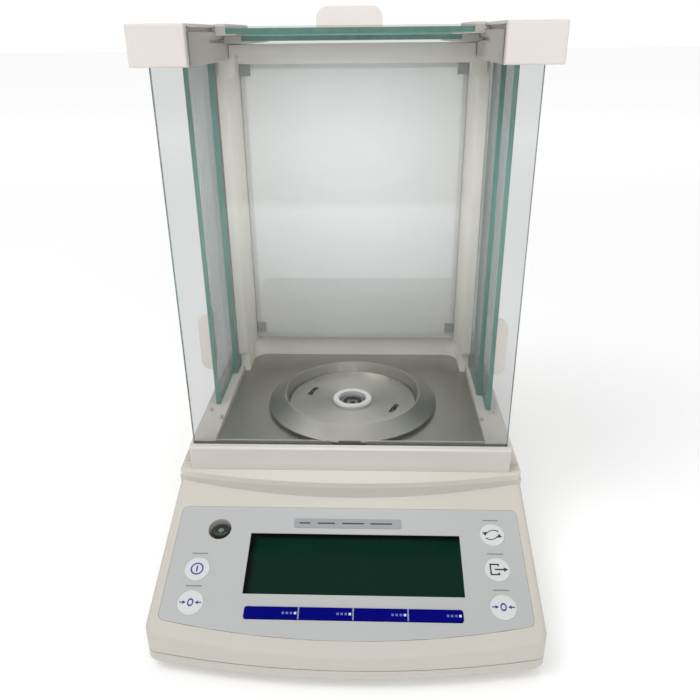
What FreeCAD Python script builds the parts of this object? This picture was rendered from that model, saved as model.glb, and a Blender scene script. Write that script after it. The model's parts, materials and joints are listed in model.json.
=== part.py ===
import FreeCAD, Part
import math
import os
import re
import Sketcher

"""Analytical balance with a two-stage sliding draught shield.

Every piece is drawn from one datum and then placed: X runs to the right, Y to the back and Z up.
The shield datum is on the centre line, on the front pane's outer face, at the side tracks' level.
The console datum is on the centre line at the back edge of the keypad sheet, and leans with the console.
The part's own origin is on the table, in the middle of the whole balance.
"""

# Driving dimensions in millimetres and degrees: alias, value, meaning
DIMENSIONS = [
    # overall
    ("depth", 442.0, "whole balance, console nose to back wall"),
    ("half_width", 106.6, "case, centre line to side"),
    ("track_level", 81.0, "side tracks above the table"),
    ("console_reach", 110.0, "console nose in front of the front pane"),
    ("underside", 5.0, "case underside above the table"),
    ("seam_level", 13.5, "joint of the lower and upper case above the table"),
    ("seam_high", 0.6, "shadow line in the joint of the two cases"),
    ("seam_deep", 0.9, "depth of the shadow line"),
    ("wall", 2.5, "case wall"),
    ("gap", 0.3, "clearance between pieces that do not touch"),
    # console
    ("console_bow", 10.7, "bulge of the console nose"),
    ("console_slope", 19.08, "lean of the console"),
    ("console_back", 25.2, "keypad sheet's back edge in front of the front pane"),
    ("console_drop", 29.1, "keypad sheet's back edge below the side tracks"),
    ("corner_round", 7.0, "upright corners of the case"),
    ("edge_round", 2.4, "top edge of the console"),
    ("lower_chamfer", 2.5, "tuck under the lower case"),
    # shoulder and deck
    ("shoulder_reach", 18.0, "shoulder lip in front of the front pane"),
    ("shoulder_bow", 12.0, "bulge of the shoulder lip"),
    ("shoulder_drop", 16.0, "shoulder below the side tracks"),
    ("lip", 3.6, "thickness of the shoulder lip"),
    ("deck_drop", 2.0, "deck below the side tracks"),
    ("deck_half_width", 100.3, "deck, centre line to side"),
    # chamber base and floor
    ("bar_reach", 4.5, "front bar in front of the front pane"),
    ("bar_half_width", 99.6, "front bar, centre line to end"),
    ("bar_back", 4.0, "front bar's back face behind the front pane's face"),
    ("bar_round", 1.4, "front bar's edges"),
    ("track_inner", 84.8, "side tracks, centre line to inner edge"),
    ("floor_drop", 4.0, "stainless floor below the side tracks"),
    ("floor_thick", 1.5, "stainless floor plate"),
    ("peg_radius", 1.0, "door guide pegs"),
    ("peg_height", 3.0, "door guide pegs above the track"),
    ("peg_front_outer", 41.5, "outer guide pegs behind the front pane"),
    ("peg_front_inner", 31.0, "inner guide pegs behind the front pane"),
    ("peg_rear", 150.0, "rear guide pegs behind the front pane"),
    # weighing station
    ("pan_depth", 62.8, "pan centre behind the front pane"),
    ("stem_hole", 9.5, "collar bore radius"),
    ("collar_radius", 13.6, "collar, outside radius"),
    ("collar_top", 4.0, "collar above the floor"),
    ("dish_radius", 43.7, "shield dish radius"),
    ("dish_thick", 1.0, "shield dish sheet"),
    ("dish_level", 1.4, "shield dish top at the middle"),
    ("ring_rim", 46.1, "draught ring, inner rim radius"),
    ("ring_foot", 58.2, "draught ring, foot radius"),
    ("ring_top", 9.2, "draught ring, rim above the floor"),
    ("ring_shoulder", 2.8, "draught ring, top of the foot"),
    ("slot_circle", 31.3, "slots in the dish, distance from the centre"),
    ("slot_half", 1.8, "slots in the dish, half width"),
    ("slot_run", 4.5, "slots in the dish, middle to end centre"),
    ("dish_pin_radius", 1.1, "pins in the dish's slots"),
    ("seat_radius", 8.2, "pan seat cup, outside radius"),
    ("seat_wall", 1.6, "pan seat cup wall"),
    ("seat_top", 0.8, "pan seat rim above the floor"),
    ("seat_depth", 7.5, "pan seat cup, depth"),
    ("seat_bore", 2.0, "pan stem bore radius"),
    ("seat_bore_depth", 8.0, "pan stem bore depth"),
    ("seat_boss", 3.8, "boss around the pan stem bore"),
    ("stem_radius", 3.0, "load stem radius"),
    ("cell_level", 34.0, "top of the weigh cell below the side tracks"),
    # draught shield frame
    ("pane", 3.0, "glass thickness"),
    ("front_half_width", 97.5, "front pane, centre line to side"),
    ("front_top", 236.4, "front pane top above the floor"),
    ("pane_sink", 9.0, "front pane depth in the front bar"),
    ("rail_bottom", 218.2, "rails' underside above the floor"),
    ("rail_top", 237.9, "rails' top above the floor"),
    ("rail_inner", 77.0, "rails, centre line to inner face"),
    ("rail_outer", 106.2, "rails, centre line to outer face"),
    ("rail_round", 1.2, "rails' edges"),
    ("rail_cap", 3.0, "solid end of a rail's slot"),
    ("opening_depth", 103.0, "door opening, front pane to rear posts"),
    ("post_front", 106.0, "rear posts' front face behind the front pane"),
    ("post_outer", 86.9, "rear posts, centre line to outer face"),
    ("post_flare", 3.5, "rear posts' inner face outside the rails' inner face, at the front"),
    ("post_inset", 0.3, "rear posts' inner face outside the rails' inner face, at the glass"),
    ("rear_glass_depth", 136.0, "rear pane behind the front pane"),
    ("rear_back", 142.0, "rear frame's back face behind the front pane"),
    ("sill_height", 13.5, "rear sill above the floor"),
    ("sill_back", 145.7, "rear sill's back face behind the front pane"),
    ("sill_wall", 3.2, "rear sill"),
    ("sill_front", 112.0, "rear sill's arms behind the front pane"),
    ("sill_round", 10.0, "inner corners of the rear sill"),
    ("header_bottom", 220.8, "rear header's underside"),
    ("header_top", 226.9, "rear header's top"),
    ("header_deep", 9.0, "rear header, front to back"),
    ("bracket_drop", 11.0, "brackets on the rear posts below the rails' underside"),
    ("clip_size", 7.0, "rear pane clips"),
    ("clip_thick", 1.6, "rear pane clips"),
    ("glass_margin", 0.1, "rear pane's ends short of the sill and the header"),
    ("front_clip_half", 7.0, "front pane clip, centre line to end"),
    ("front_clip_deep", 3.0, "front pane clip below the side tracks"),
    ("front_clip_top", 0.8, "front pane clip above the side tracks"),
    # sliding doors
    ("door_long", 74.0, "door panels, front to back"),
    ("inner_door_inside", 87.3, "inner side door, centre line to inner face"),
    ("door_gap", 0.5, "inner side door, glass to the outer door's glass"),
    ("door_bottom", 0.6, "side doors above the track"),
    ("door_top", 222.0, "side door glass top above the floor"),
    ("hanger_top", 226.0, "side door hangers' top above the floor"),
    ("hanger_flange", 2.5, "side door hangers, overhang"),
    ("flange_thick", 1.9, "side door hangers, flange"),
    ("left_outer_at", 50.7, "left outer door's front edge behind the front pane"),
    ("left_inner_at", 97.9, "left inner door's front edge"),
    ("right_outer_at", 44.8, "right outer door's front edge"),
    ("right_inner_at", 65.9, "right inner door's front edge"),
    ("top_upper_at", 65.3, "top upper door's front edge"),
    ("top_lower_at", 88.9, "top lower door's front edge"),
    ("upper_runner", 6.2, "top upper door, glass edge to rail"),
    ("upper_glass_bottom", 233.0, "top upper door glass underside"),
    ("lower_runner", 10.8, "top lower door, glass edge to rail"),
    ("lower_glass_bottom", 229.0, "top lower door glass underside"),
    ("lower_glass_thick", 2.9, "top lower door glass"),
    ("upper_foot", 0.8, "foot under the top upper door's glass"),
    ("lower_foot", 1.3, "foot under the top lower door's glass"),
    ("tongue", 2.3, "top door runners, reach into the rail"),
    ("handle_reach", 7.0, "side door pull, reach outside the glass"),
    ("handle_bottom", 26.7, "side door pull, bottom above the floor"),
    ("handle_high", 39.6, "side door pull, height"),
    ("handle_thick", 2.6, "door pulls, thickness"),
    ("handle_round", 6.5, "door pulls, free corners"),
    ("handle_foot", 1.4, "door pulls, plate on the glass"),
    ("handle_grip", 16.0, "door pulls, plate on the glass, front to back"),
    ("top_handle_half", 18.8, "top door pull, centre line to side"),
    ("top_handle_high", 10.8, "top door pull, height"),
    # keypad, from the console datum: sideways and down the slope
    ("sheet_half", 100.6, "keypad sheet, centre line to side"),
    ("sheet_long", 81.0, "keypad sheet at the centre line"),
    ("sheet_bow", 10.1, "keypad sheet, bulge of its front edge"),
    ("sheet_thick", 0.8, "keypad sheet"),
    ("sheet_round", 4.0, "keypad sheet corners"),
    ("window_shift", 4.3, "display window, centre right of the centre line"),
    ("window_wide", 121.9, "display window"),
    ("window_at", 18.0, "display window's back edge"),
    ("window_long", 37.6, "display window, along the slope"),
    ("window_ledge", 1.5, "ledge under the display window's edge"),
    ("soft_key_shift", 4.5, "function keys, centre right of the centre line"),
    ("soft_key_wide", 29.2, "one function key"),
    ("soft_key_pitch", 29.5, "function key spacing"),
    ("soft_key_at", 63.1, "function keys' back edge"),
    ("soft_key_long", 6.8, "function keys, along the slope"),
    ("soft_key_round", 1.6, "outer corners of the row of function keys"),
    ("key_radius", 7.2, "round keys"),
    ("key_proud", 0.45, "keys above the sheet"),
    ("key_thick", 1.2, "keys"),
    ("key_travel", 0.4, "keys, travel"),
    ("plate_wide", 64.0, "rating plate"),
    ("plate_long", 6.4, "rating plate, along the slope"),
    ("plate_at", 7.5, "rating plate's back edge"),
    ("plate_thick", 0.25, "rating plate"),
    ("plate_round", 1.5, "rating plate corners"),
    ("level_shift", 75.8, "level, centre left of the centre line"),
    ("level_at", 15.5, "level, centre"),
    ("level_radius", 6.8, "level window radius"),
    ("level_wall", 1.4, "cup under the level window"),
    ("level_deep", 10.6, "cup under the level window"),
    ("vial_radius", 5.6, "level vial radius"),
    ("vial_high", 5.0, "level vial height"),
    # inside and below
    ("board_thick", 1.6, "circuit boards"),
    ("foot_across", 84.0, "feet, centre line to axis"),
    ("front_foot_at", 62.0, "front feet in front of the front pane"),
    ("rear_foot_at", 296.0, "rear feet behind the front pane"),
    ("pad_radius", 8.0, "foot pads"),
    ("pad_high", 3.0, "foot pads"),
    ("wheel_radius", 13.5, "adjusting wheels"),
    ("wheel_high", 4.6, "adjusting wheels"),
    ("screw_radius", 3.0, "adjusting screws"),
    ("screw_fit", 0.08, "adjusting screws, radial running clearance"),
    ("well_radius", 15.5, "wells over the adjusting wheels"),
    ("well_deep", 5.6, "wells over the adjusting wheels"),
    ("boss_high", 17.0, "foot bosses above the case underside"),
    # back of the case
    ("back_panel_half", 62.0, "back panel, centre line to side"),
    ("back_panel_low", 24.0, "back panel's lower edge above the table"),
    ("back_panel_high", 34.0, "back panel height"),
    ("panel_recess", 6.0, "back panel's face in front of the back wall"),
    ("panel_rim", 1.6, "rim of the back panel"),
    ("jack_shift", 40.0, "power inlet, centre right of the centre line"),
    ("port_shift", 12.0, "serial port, centre left of the centre line"),
    ("socket_level", 41.0, "sockets above the table"),
    ("jack_radius", 5.5, "power inlet barrel"),
    ("jack_bore", 2.9, "power inlet mouth"),
    ("port_half", 15.25, "serial port flange, middle to end"),
    ("port_half_high", 6.25, "serial port flange, middle to top"),
    ("port_shell_half", 9.0, "serial port shell, middle to end"),
    ("port_shell_half_high", 4.8, "serial port shell, middle to top"),
    ("port_pin_pitch", 2.77, "serial port pins"),
    ("case_screw_radius", 1.9, "case screw shanks"),
]

ROUND_KEYS = [  # name, sideways, down the slope
    ("power", -84.5, 41.5),
    ("zero_left", -84.5, 61.5),
    ("menu", 84.5, 17.0),
    ("output", 84.8, 39.0),
    ("zero_right", 85.4, 61.0),
]

doc = FreeCAD.newDocument("balance")
sheet = doc.addObject("Spreadsheet::Sheet", "Sizes")
size = {}
PIECES = {}
ALIAS = re.compile(r"(?<![\w.])[a-z]\w*_?\w*")


def fill_sheet():
    """Write the driving dimensions and the round keys' places into the sheet, and read them back."""
    rows = list(DIMENSIONS)
    for name, sideways, down in ROUND_KEYS:
        rows.append((f"key_{name}_x", sideways, f"{name} key, sideways"))
        rows.append((f"key_{name}_at", down, f"{name} key, down the slope"))
    for row, (alias, value, meaning) in enumerate(rows, start=1):
        sheet.set(f"A{row}", meaning)
        sheet.set(f"B{row}", str(value))
        sheet.setAlias(f"B{row}", alias)
    doc.recompute()
    for alias, _, _ in rows:
        size[alias] = float(sheet.get(alias))


def formula(text):
    """Turn aliases in a formula into references to the sheet."""
    def swap(match):
        word = match.group(0)
        return f"Sizes.{word}" if word in size else word
    return ALIAS.sub(swap, str(text))


def bind(obj, **formulas):
    """Bind properties of an object to formulas of the sheet."""
    for prop, text in formulas.items():
        obj.setExpression(prop.replace("__", "."), formula(text))
    return obj


def put(obj, x=0, y=0, z=0):
    """Bind an object's position."""
    for axis, text in zip("xyz", (x, y, z)):
        if text != 0:
            obj.setExpression(f"Placement.Base.{axis}", formula(text))
    return obj


def box(name, x, y, z):
    """Box from three (low, high) pairs of formulas."""
    obj = doc.addObject("Part::Box", name)
    for prop, (low, high) in zip(("Length", "Width", "Height"), (x, y, z)):
        bind(obj, **{prop: f"({high}) - ({low})"})
    return put(obj, *[f"({low})" for low, _ in (x, y, z)])


def rod(name, radius, z, x=0, y=0):
    """Upright cylinder from a radius, a (low, high) pair and a centre."""
    obj = doc.addObject("Part::Cylinder", name)
    bind(obj, Radius=radius, Height=f"({z[1]}) - ({z[0]})")
    return put(obj, x, y, f"({z[0]})")


def fuse(name, *parts):
    """Union of objects."""
    obj = doc.addObject("Part::MultiFuse", name)
    obj.Shapes = list(parts)
    obj.Refine = True
    return obj


def cut(name, base, *tools):
    """One object less others."""
    obj = doc.addObject("Part::Cut", name)
    obj.Base = base
    obj.Tool = tools[0] if len(tools) == 1 else gather(name + "_tools", *tools)
    return obj


def common(name, *parts):
    """What objects share."""
    obj = doc.addObject("Part::MultiCommon", name)
    obj.Shapes = list(parts)
    return obj


def gather(name, *parts):
    """Compound of separate solids."""
    obj = doc.addObject("Part::Compound", name)
    obj.Links = list(parts)
    return obj


def rounded(name, base, radius, chosen, kind="Part::Fillet"):
    """Fillet or chamfer the edges that a test chooses."""
    doc.recompute()
    obj = doc.addObject(kind, name)
    obj.Base = base
    edges = enumerate(base.Shape.Edges, start=1)
    obj.Edges = [(number, radius, radius) for number, edge in edges if chosen(edge)]
    if not obj.Edges:
        raise RuntimeError(f"{name}: no edge was chosen")
    return obj


def upright(edge):
    """Is the edge a straight line along Z?"""
    ends = edge.Vertexes
    return len(ends) == 2 and (ends[0].Point - ends[1].Point).cross(FreeCAD.Vector(0, 0, 1)).Length < 1e-6


def along(edge):
    """Five points of an edge, end to end."""
    step = (edge.LastParameter - edge.FirstParameter) / 4
    return [edge.valueAt(edge.FirstParameter + i * step) for i in range(5)]


def lies(edge, **place):
    """Do all points of the edge have the given coordinates?"""
    return all(abs(getattr(point, axis) - value) < 1e-4
               for point in along(edge) for axis, value in place.items())


def level_with(edge, axis):
    """Do the edge's two ends share a coordinate?"""
    first, last = edge.Vertexes[0], edge.Vertexes[-1]
    return abs(getattr(first, axis) - getattr(last, axis)) < 1e-6


def mirrored(side, low, high):
    """Sideways extent on the right side, or its mirror image on the left."""
    return (low, high) if side == 1 else (f"-({high})", f"-({low})")


def profile(body, plane, points, name="outline"):
    """Closed polygon on one of the body's origin planes, every corner bound to formulas."""
    sketch = body.newObject("Sketcher::SketchObject", name)
    support = [item for item in body.Origin.OriginFeatures if item.Role == plane][0]
    sketch.AttachmentSupport = [(support, "")]
    sketch.MapMode = "FlatFace"
    count = len(points)
    turns = [2 * math.pi * i / count for i in range(count)]
    guess = [FreeCAD.Vector(50 * math.cos(turn), 50 * math.sin(turn), 0) for turn in turns]
    for i in range(count):
        sketch.addGeometry(Part.LineSegment(guess[i], guess[(i + 1) % count]), False)
    for i in range(count):
        sketch.addConstraint(Sketcher.Constraint("Coincident", i, 2, (i + 1) % count, 1))
    for i, (across, up) in enumerate(points):
        for kind, text in (("DistanceX", across), ("DistanceY", up)):
            start = getattr(guess[i], "x" if kind == "DistanceX" else "y")
            index = sketch.addConstraint(Sketcher.Constraint(kind, -1, 1, i, 1, start))
            sketch.renameConstraint(index, f"{kind.lower()}_{i}")
            sketch.setExpression(f"Constraints.{kind.lower()}_{i}", formula(text))
    return sketch


def bar(name, plane, points, length, both_ways=False, backwards=False):
    """Body with one polygon padded along the plane's normal."""
    body = doc.addObject("PartDesign::Body", name)
    sketch = profile(body, plane, points)
    doc.recompute()
    pad = body.newObject("PartDesign::Pad", name + "_pad")
    pad.Profile = sketch
    pad.SideType = "Symmetric" if both_ways else "One side"
    pad.Reversed = backwards
    pad.setExpression("Length", formula(length))
    return body


def turned(name, points):
    """Body turned about the Z axis from a polygon of (radius, height) corners."""
    body = doc.addObject("PartDesign::Body", name)
    sketch = profile(body, "XZ_Plane", points)
    doc.recompute()
    spin = body.newObject("PartDesign::Revolution", name + "_turn")
    spin.Profile = sketch
    spin.ReferenceAxis = (sketch, ["V_Axis"])
    spin.Angle = 360
    return body


def seat(obj, label, y="0", z="0", x="0"):
    """Name a sub-part and place it from the shield datum."""
    obj.Label = label
    put(obj, f"{x}", f"console_reach - depth / 2 + ({y})", f"track_level + ({z})")
    PIECES[label] = obj
    return obj


def seat_on_console(obj, label, x="0", down="0", rise="0"):
    """Name a sub-part and place it from the leaning console datum."""
    obj.Label = label
    obj.Placement.Rotation = FreeCAD.Rotation(FreeCAD.Vector(1, 0, 0), 1)
    bind(obj, Placement__Rotation__Angle="console_slope")
    slope_y = f"-(({down}) * cos(console_slope * 1deg)) - ({rise}) * sin(console_slope * 1deg)"
    slope_z = f"-(({down}) * sin(console_slope * 1deg)) + ({rise}) * cos(console_slope * 1deg)"
    put(obj, f"{x}", f"console_reach - depth / 2 - console_back + {slope_y}",
        f"track_level - console_drop + {slope_z}")
    PIECES[label] = obj
    return obj


def bowed(name, reach, bow, z, inset="0"):
    """Slab the case's size whose front edge bulges, drawn in by an inset."""
    radius = f"((half_width ^ 2 + {bow} ^ 2) / (2 * {bow}))"
    side = (f"-half_width + {inset}", f"half_width - ({inset})")
    slab = box(name + "_slab", side, (f"-{reach} + {inset}", f"depth - console_reach - ({inset})"), z)
    nose = rod(name + "_nose", f"{radius} - ({inset})", z, y=f"{radius} - {reach}")
    return common(name, slab, nose)


SLOT_TURN = 157  # degrees from +X to the first slot of the shield dish
PIN_TURN = 5  # degrees from a slot's middle to its pin
SEAM = "(seam_level - track_level)"
LIP_BOTTOM = "(-shoulder_drop - lip)"
BACK = "(depth - console_reach)"
POST = "(rail_inner + post_inset)"
POST_MOUTH = "(rail_inner + post_flare)"
RAIL_END = "(opening_depth + door_long + rail_cap + 1)"
OUTER_DOOR = "(inner_door_inside + pane + door_gap)"
CASE_FLOOR = "(underside + wall - track_level)"


def console_plane(y, drop="0"):
    """Height of the console's top at a distance from the front pane."""
    return f"(({y}) + console_back) * tan(console_slope * 1deg) - console_drop - ({drop})"


def console_wedge(name, drop="0"):
    """Prism under the console's top, ending where it meets the shoulder lip's underside."""
    nose = "(-console_reach - 10)"
    meet = f"((console_drop - shoulder_drop - lip + {drop}) / tan(console_slope * 1deg) - console_back)"
    corners = [(nose, SEAM + " - 1"), (nose, console_plane(nose, drop)),
               (meet, LIP_BOTTOM), (meet, SEAM + " - 1")]
    return bar(name, "YZ_Plane", corners, "2 * half_width + 20", both_ways=True)


def on_console(edge):
    """Does the edge run round the console's top, apart from its back?"""
    lean = math.tan(math.radians(size["console_slope"]))
    points = along(edge)
    top = all(abs(p.z - (p.y + size["console_back"]) * lean + size["console_drop"]) < 1e-3 for p in points)
    return top and min(p.y for p in points) < max(p.y for p in points) - 1e-3 or (
        top and abs(points[0].x - points[-1].x) > 1e-3 and points[0].y < -size["console_back"])


def keypad_outline(name, z, grow="0"):
    """Keypad sheet's outline with a bulging front edge, drawn in the console's own frame."""
    radius = "((sheet_half ^ 2 + sheet_bow ^ 2) / (2 * sheet_bow))"
    side = (f"-sheet_half - {grow}", f"sheet_half + {grow}")
    slab = box(name + "_slab", side, (f"-sheet_long - {grow}", grow), z)
    nose = rod(name + "_nose", f"{radius} + {grow}", z, y=f"{radius} - sheet_long")
    return rounded(name, common(name + "_square", slab, nose), size["sheet_round"], upright)


def key_holes(name, z, grow):
    """Cutters for every key, the display window and the level, in the console's own frame."""
    tools = [rod(f"{name}_{key}", f"key_radius + {grow}", z, f"key_{key}_x", f"-key_{key}_at")
             for key, _, _ in ROUND_KEYS]
    tools += [soft_key_block(f"{name}_soft_{i + 1}", i, z, grow) for i in range(4)]
    tools.append(rod(name + "_level", "level_radius", z, "-level_shift", "-level_at"))
    return tools


def soft_key_span(i, grow="0"):
    """Sideways extent of one function key."""
    middle = f"soft_key_shift + ({i} - 1.5) * soft_key_pitch"
    return f"{middle} - soft_key_wide / 2 - {grow}", f"{middle} + soft_key_wide / 2 + {grow}"


def soft_key_run(grow="0"):
    """Extent of the function keys along the slope."""
    return f"-soft_key_at - soft_key_long - {grow}", f"-soft_key_at + {grow}"


def soft_key_block(name, i, z, grow="0"):
    """Block the size of one function key; the two at the row's ends have rounded outer corners."""
    block = box(name, soft_key_span(i, grow), soft_key_run(grow), z)
    outward = {0: -1, 3: 1}.get(i)
    if outward is None:
        return block
    middle = size["soft_key_shift"] + (i - 1.5) * size["soft_key_pitch"]
    return rounded(name + "_soft", block, size["soft_key_round"],
                   lambda e: upright(e) and (e.Vertexes[0].X - middle) * outward > 0)


def window_cutter(name, z, grow):
    """Block the size of the display window, grown or drawn in."""
    return box(name, (f"window_shift - window_wide / 2 - {grow}", f"window_shift + window_wide / 2 + {grow}"),
               (f"-window_at - window_long - {grow}", f"-window_at + {grow}"), z)


def lean_back(obj):
    """Move a cutter drawn in the console's own frame to the shield datum's frame."""
    obj.Placement.Rotation = FreeCAD.Rotation(FreeCAD.Vector(1, 0, 0), 1)
    bind(obj, Placement__Rotation__Angle="console_slope")
    return put(obj, 0, "-console_back", "-console_drop")


def lower_case():
    """Tray that carries the weigh cell, the boards and the feet."""
    low, groove = "(underside - track_level)", f"({SEAM} - seam_high)"
    plan = bowed("tray_plan", "console_reach", "console_bow", (low, groove))
    block = rounded("tray_block", plan, size["corner_round"], upright)
    foot = size["underside"] - size["track_level"]
    block = rounded("tray_tucked", block, size["lower_chamfer"], lambda e: lies(e, z=foot), "Part::Chamfer")
    rim = bowed("tray_rim", "console_reach", "console_bow", (groove, SEAM), "seam_deep")
    rim = rounded("tray_rim_rounded", rim, size["corner_round"] - size["seam_deep"], upright)
    block = fuse("tray_with_rim", block, rim)
    hollow = bowed("tray_hollow", "console_reach", "console_bow", (CASE_FLOOR, SEAM + " + 1"), "wall")
    parts, tools = [cut("tray_shell", block, hollow)], []
    for side, name in ((-1, "left"), (1, "right")):
        where = (f"{side} * foot_across", "-front_foot_at")
        parts.append(rod(f"{name}_boss", "well_radius + wall", (low, f"{low} + boss_high"), *where))
        tools.append(rod(f"{name}_well", "well_radius", (f"{low} - 1", f"{low} + well_deep"), *where))
        tools.append(rod(f"{name}_bore", "screw_radius + screw_fit", (low, f"{low} + boss_high + 1"), *where))
    tools += [rod(f"tray_hole_{i}", "case_screw_radius + gap / 2", (f"{low} - 1", f"{CASE_FLOOR} + 1"), x, y)
              for i, (x, y) in enumerate(case_screw_places())]
    seat(cut("tray", fuse("tray_bossed", *parts), *tools), "lower_case")


def case_screw_places():
    """Places of the six screws that close the case."""
    rows = ("-front_foot_at + 34", "rear_foot_at / 2", "rear_foot_at - 30")
    return [(f"{side} * (half_width - 12)", row) for row in rows for side in (-1, 1)]


def upper_case():
    """Console and side walls: a shell open at the bottom and under the deck cover."""
    plan = bowed("console_plan", "console_reach", "console_bow", (SEAM, LIP_BOTTOM))
    block = rounded("console_rounded", plan, size["corner_round"], upright)
    console = common("console_block", block, console_wedge("console_wedge"))
    console = rounded("console_soft", console, size["edge_round"], on_console)
    walls_plan = bowed("walls_plan", "shoulder_reach", "shoulder_bow", (SEAM, LIP_BOTTOM))
    walls = common("walls_block", block, walls_plan)
    console_room = common(
        "console_room", console_wedge("room_wedge", "wall / cos(console_slope * 1deg)"),
        bowed("room_plan", "console_reach", "console_bow", (SEAM + " - 1", LIP_BOTTOM), "wall"))
    through = (SEAM + " - 1", LIP_BOTTOM + " + 1")
    walls_room = bowed("walls_room", "shoulder_reach", "shoulder_bow", through, "wall")
    sheet_seat = lean_back(keypad_outline("sheet_seat", ("-sheet_thick", "5"), "gap / 2"))
    deep = ("-wall - 8", "1")
    holes = lean_back(gather("console_holes", *key_holes("console_hole", deep, "gap"),
                             window_cutter("console_window", deep, "(-window_ledge)")))
    opening = box("panel_opening", ("-back_panel_half - gap", "back_panel_half + gap"),
                  (BACK + " - wall - 1", BACK + " + 1"),
                  ("back_panel_low - gap - track_level",
                   "back_panel_low + back_panel_high + gap - track_level"))
    hollow = cut("case_hollow", fuse("case_block", console, walls),
                 console_room, walls_room, sheet_seat, holes, opening)
    level = ("-level_shift", "-level_at")
    cup = rod("cup_block", "level_radius + level_wall", ("-level_deep - level_wall", "-wall"), *level)
    bowl = rod("bowl_rod", "level_radius", ("-level_deep", "1"), *level)
    with_cup = fuse("case_with_cup", hollow, lean_back(gather("cup", cup)))
    seat(cut("case", with_cup, lean_back(gather("bowl", bowl))), "upper_case")


def deck_cover():
    """Cover over the weigh cell: shoulder lip in front, flared deck behind."""
    lip = bowed("lip_plan", "shoulder_reach", "shoulder_bow", (LIP_BOTTOM, "-shoulder_drop"))
    lip = rounded("lip_rounded", lip, size["corner_round"] / 2, upright)
    start = "(bar_back + gap)"
    slope = bar("deck_slope", "XZ_Plane",
                [("-half_width", "-shoulder_drop"), ("-deck_half_width", "-deck_drop"),
                 ("deck_half_width", "-deck_drop"), ("half_width", "-shoulder_drop")],
                f"{BACK} - {start}", backwards=True)
    put(slope, 0, start, 0)
    level, front = -size["deck_drop"], size["bar_back"] + size["gap"]
    slope_soft = rounded("deck_soft", gather("deck_placed", slope), size["corner_round"] / 2,
                         lambda e: lies(e, z=level) and not lies(e, y=front))
    across, low = ("wall - deck_half_width + 2", "deck_half_width - wall - 2"), LIP_BOTTOM + " - 1"
    sunk, back_room = "(-floor_drop - floor_thick)", ("sill_back + wall", f"{BACK} - wall - corner_round")
    tools = [box("deck_front_room", across, (f"{start} + wall", "sill_back + 2 * gap"),
                 (low, f"{sunk} - wall")),
             box("deck_room", across, back_room, (low, "-deck_drop - wall")),
             box("deck_pocket", ("-track_inner", "track_inner"), ("0", "sill_back + gap"), (sunk, "1")),
             rod("deck_well", "collar_radius", ("-track_level", "1"), 0, "pan_depth")]
    seat(cut("deck", fuse("deck_block", lip, slope_soft), *tools), "deck_cover")


def chamber_base():
    """Front bar and side tracks, with the pegs that guide the side doors' lower edges."""
    front = box("bar_block", ("-bar_half_width", "bar_half_width"), ("-bar_reach", "bar_back"),
                ("-shoulder_drop", "0"))
    face, foot = -size["bar_reach"], -size["shoulder_drop"]
    front = rounded("bar_soft", front, size["bar_round"], lambda e: lies(e, y=face) and not lies(e, z=foot))
    parts = [front]
    for side, name in ((-1, "left"), (1, "right")):
        span = mirrored(side, "track_inner", "deck_half_width - 2 * gap")
        parts.append(box(f"{name}_track", span, ("bar_back", RAIL_END), ("-deck_drop", "0")))
        rows = (("peg_front_outer", "peg_front_inner"), ("peg_rear", "peg_rear"))
        for row, (outer, inner) in enumerate(rows):
            parts.append(rod(f"{name}_peg_out_{row}", "peg_radius", ("-1", "peg_height"),
                             f"{side} * ({OUTER_DOOR} + pane + gap + peg_radius)", outer))
            parts.append(rod(f"{name}_peg_in_{row}", "peg_radius", ("-1", "peg_height"),
                             f"{side} * (inner_door_inside - gap - peg_radius)", inner))
    slot = box("pane_slot", ("-front_half_width - gap / 2", "front_half_width + gap / 2"),
               ("-gap / 2", "pane + gap / 2"), ("-pane_sink", "1"))
    notch = box("clip_notch", ("-1.6 * front_clip_half", "1.6 * front_clip_half"), ("pane", "bar_back + 1"),
                ("-front_clip_deep", "1"))
    seat(cut("base", fuse("base_block", *parts), slot, notch), "chamber_base")


def floor_plate():
    """Brushed stainless chamber floor."""
    plate = box("floor_block", ("gap - track_inner", "track_inner - gap"),
                ("bar_back + gap", "sill_back"), ("-floor_thick", "0"))
    hole = rod("floor_hole", "collar_radius - 1.5", ("-floor_thick - 1", "1"), 0, "pan_depth")
    seat(cut("floor", plate, hole), "floor_plate", z="-floor_drop")


def draught_ring():
    """Stainless ring that keeps draughts from the pan."""
    inner = "(dish_radius + gap)"
    ring = turned("ring", [
        ("ring_foot - 2.2", "0"), ("ring_foot", "2"), ("ring_foot", "ring_shoulder"),
        ("ring_rim + 0.9", "ring_top"), ("ring_rim", "ring_top"), (inner, "1"), (inner, "0")])
    seat(ring, "draught_ring", y="pan_depth", z="-floor_drop")


def slot_cutter(name, side):
    """Tangential slot in the shield dish."""
    through = ("-dish_thick", "2 * dish_level")
    ends = [rod(f"{name}_end_{i}", "slot_half", through, "slot_circle", f"{i} * slot_run") for i in (-1, 1)]
    middle = box(name + "_middle", ("slot_circle - slot_half", "slot_circle + slot_half"),
                 ("-slot_run", "slot_run"), through)
    slot = gather(name, fuse(name + "_whole", middle, *ends))
    slot.Placement.Rotation = FreeCAD.Rotation(FreeCAD.Vector(0, 0, 1), SLOT_TURN + 180 * side)
    return slot


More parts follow.
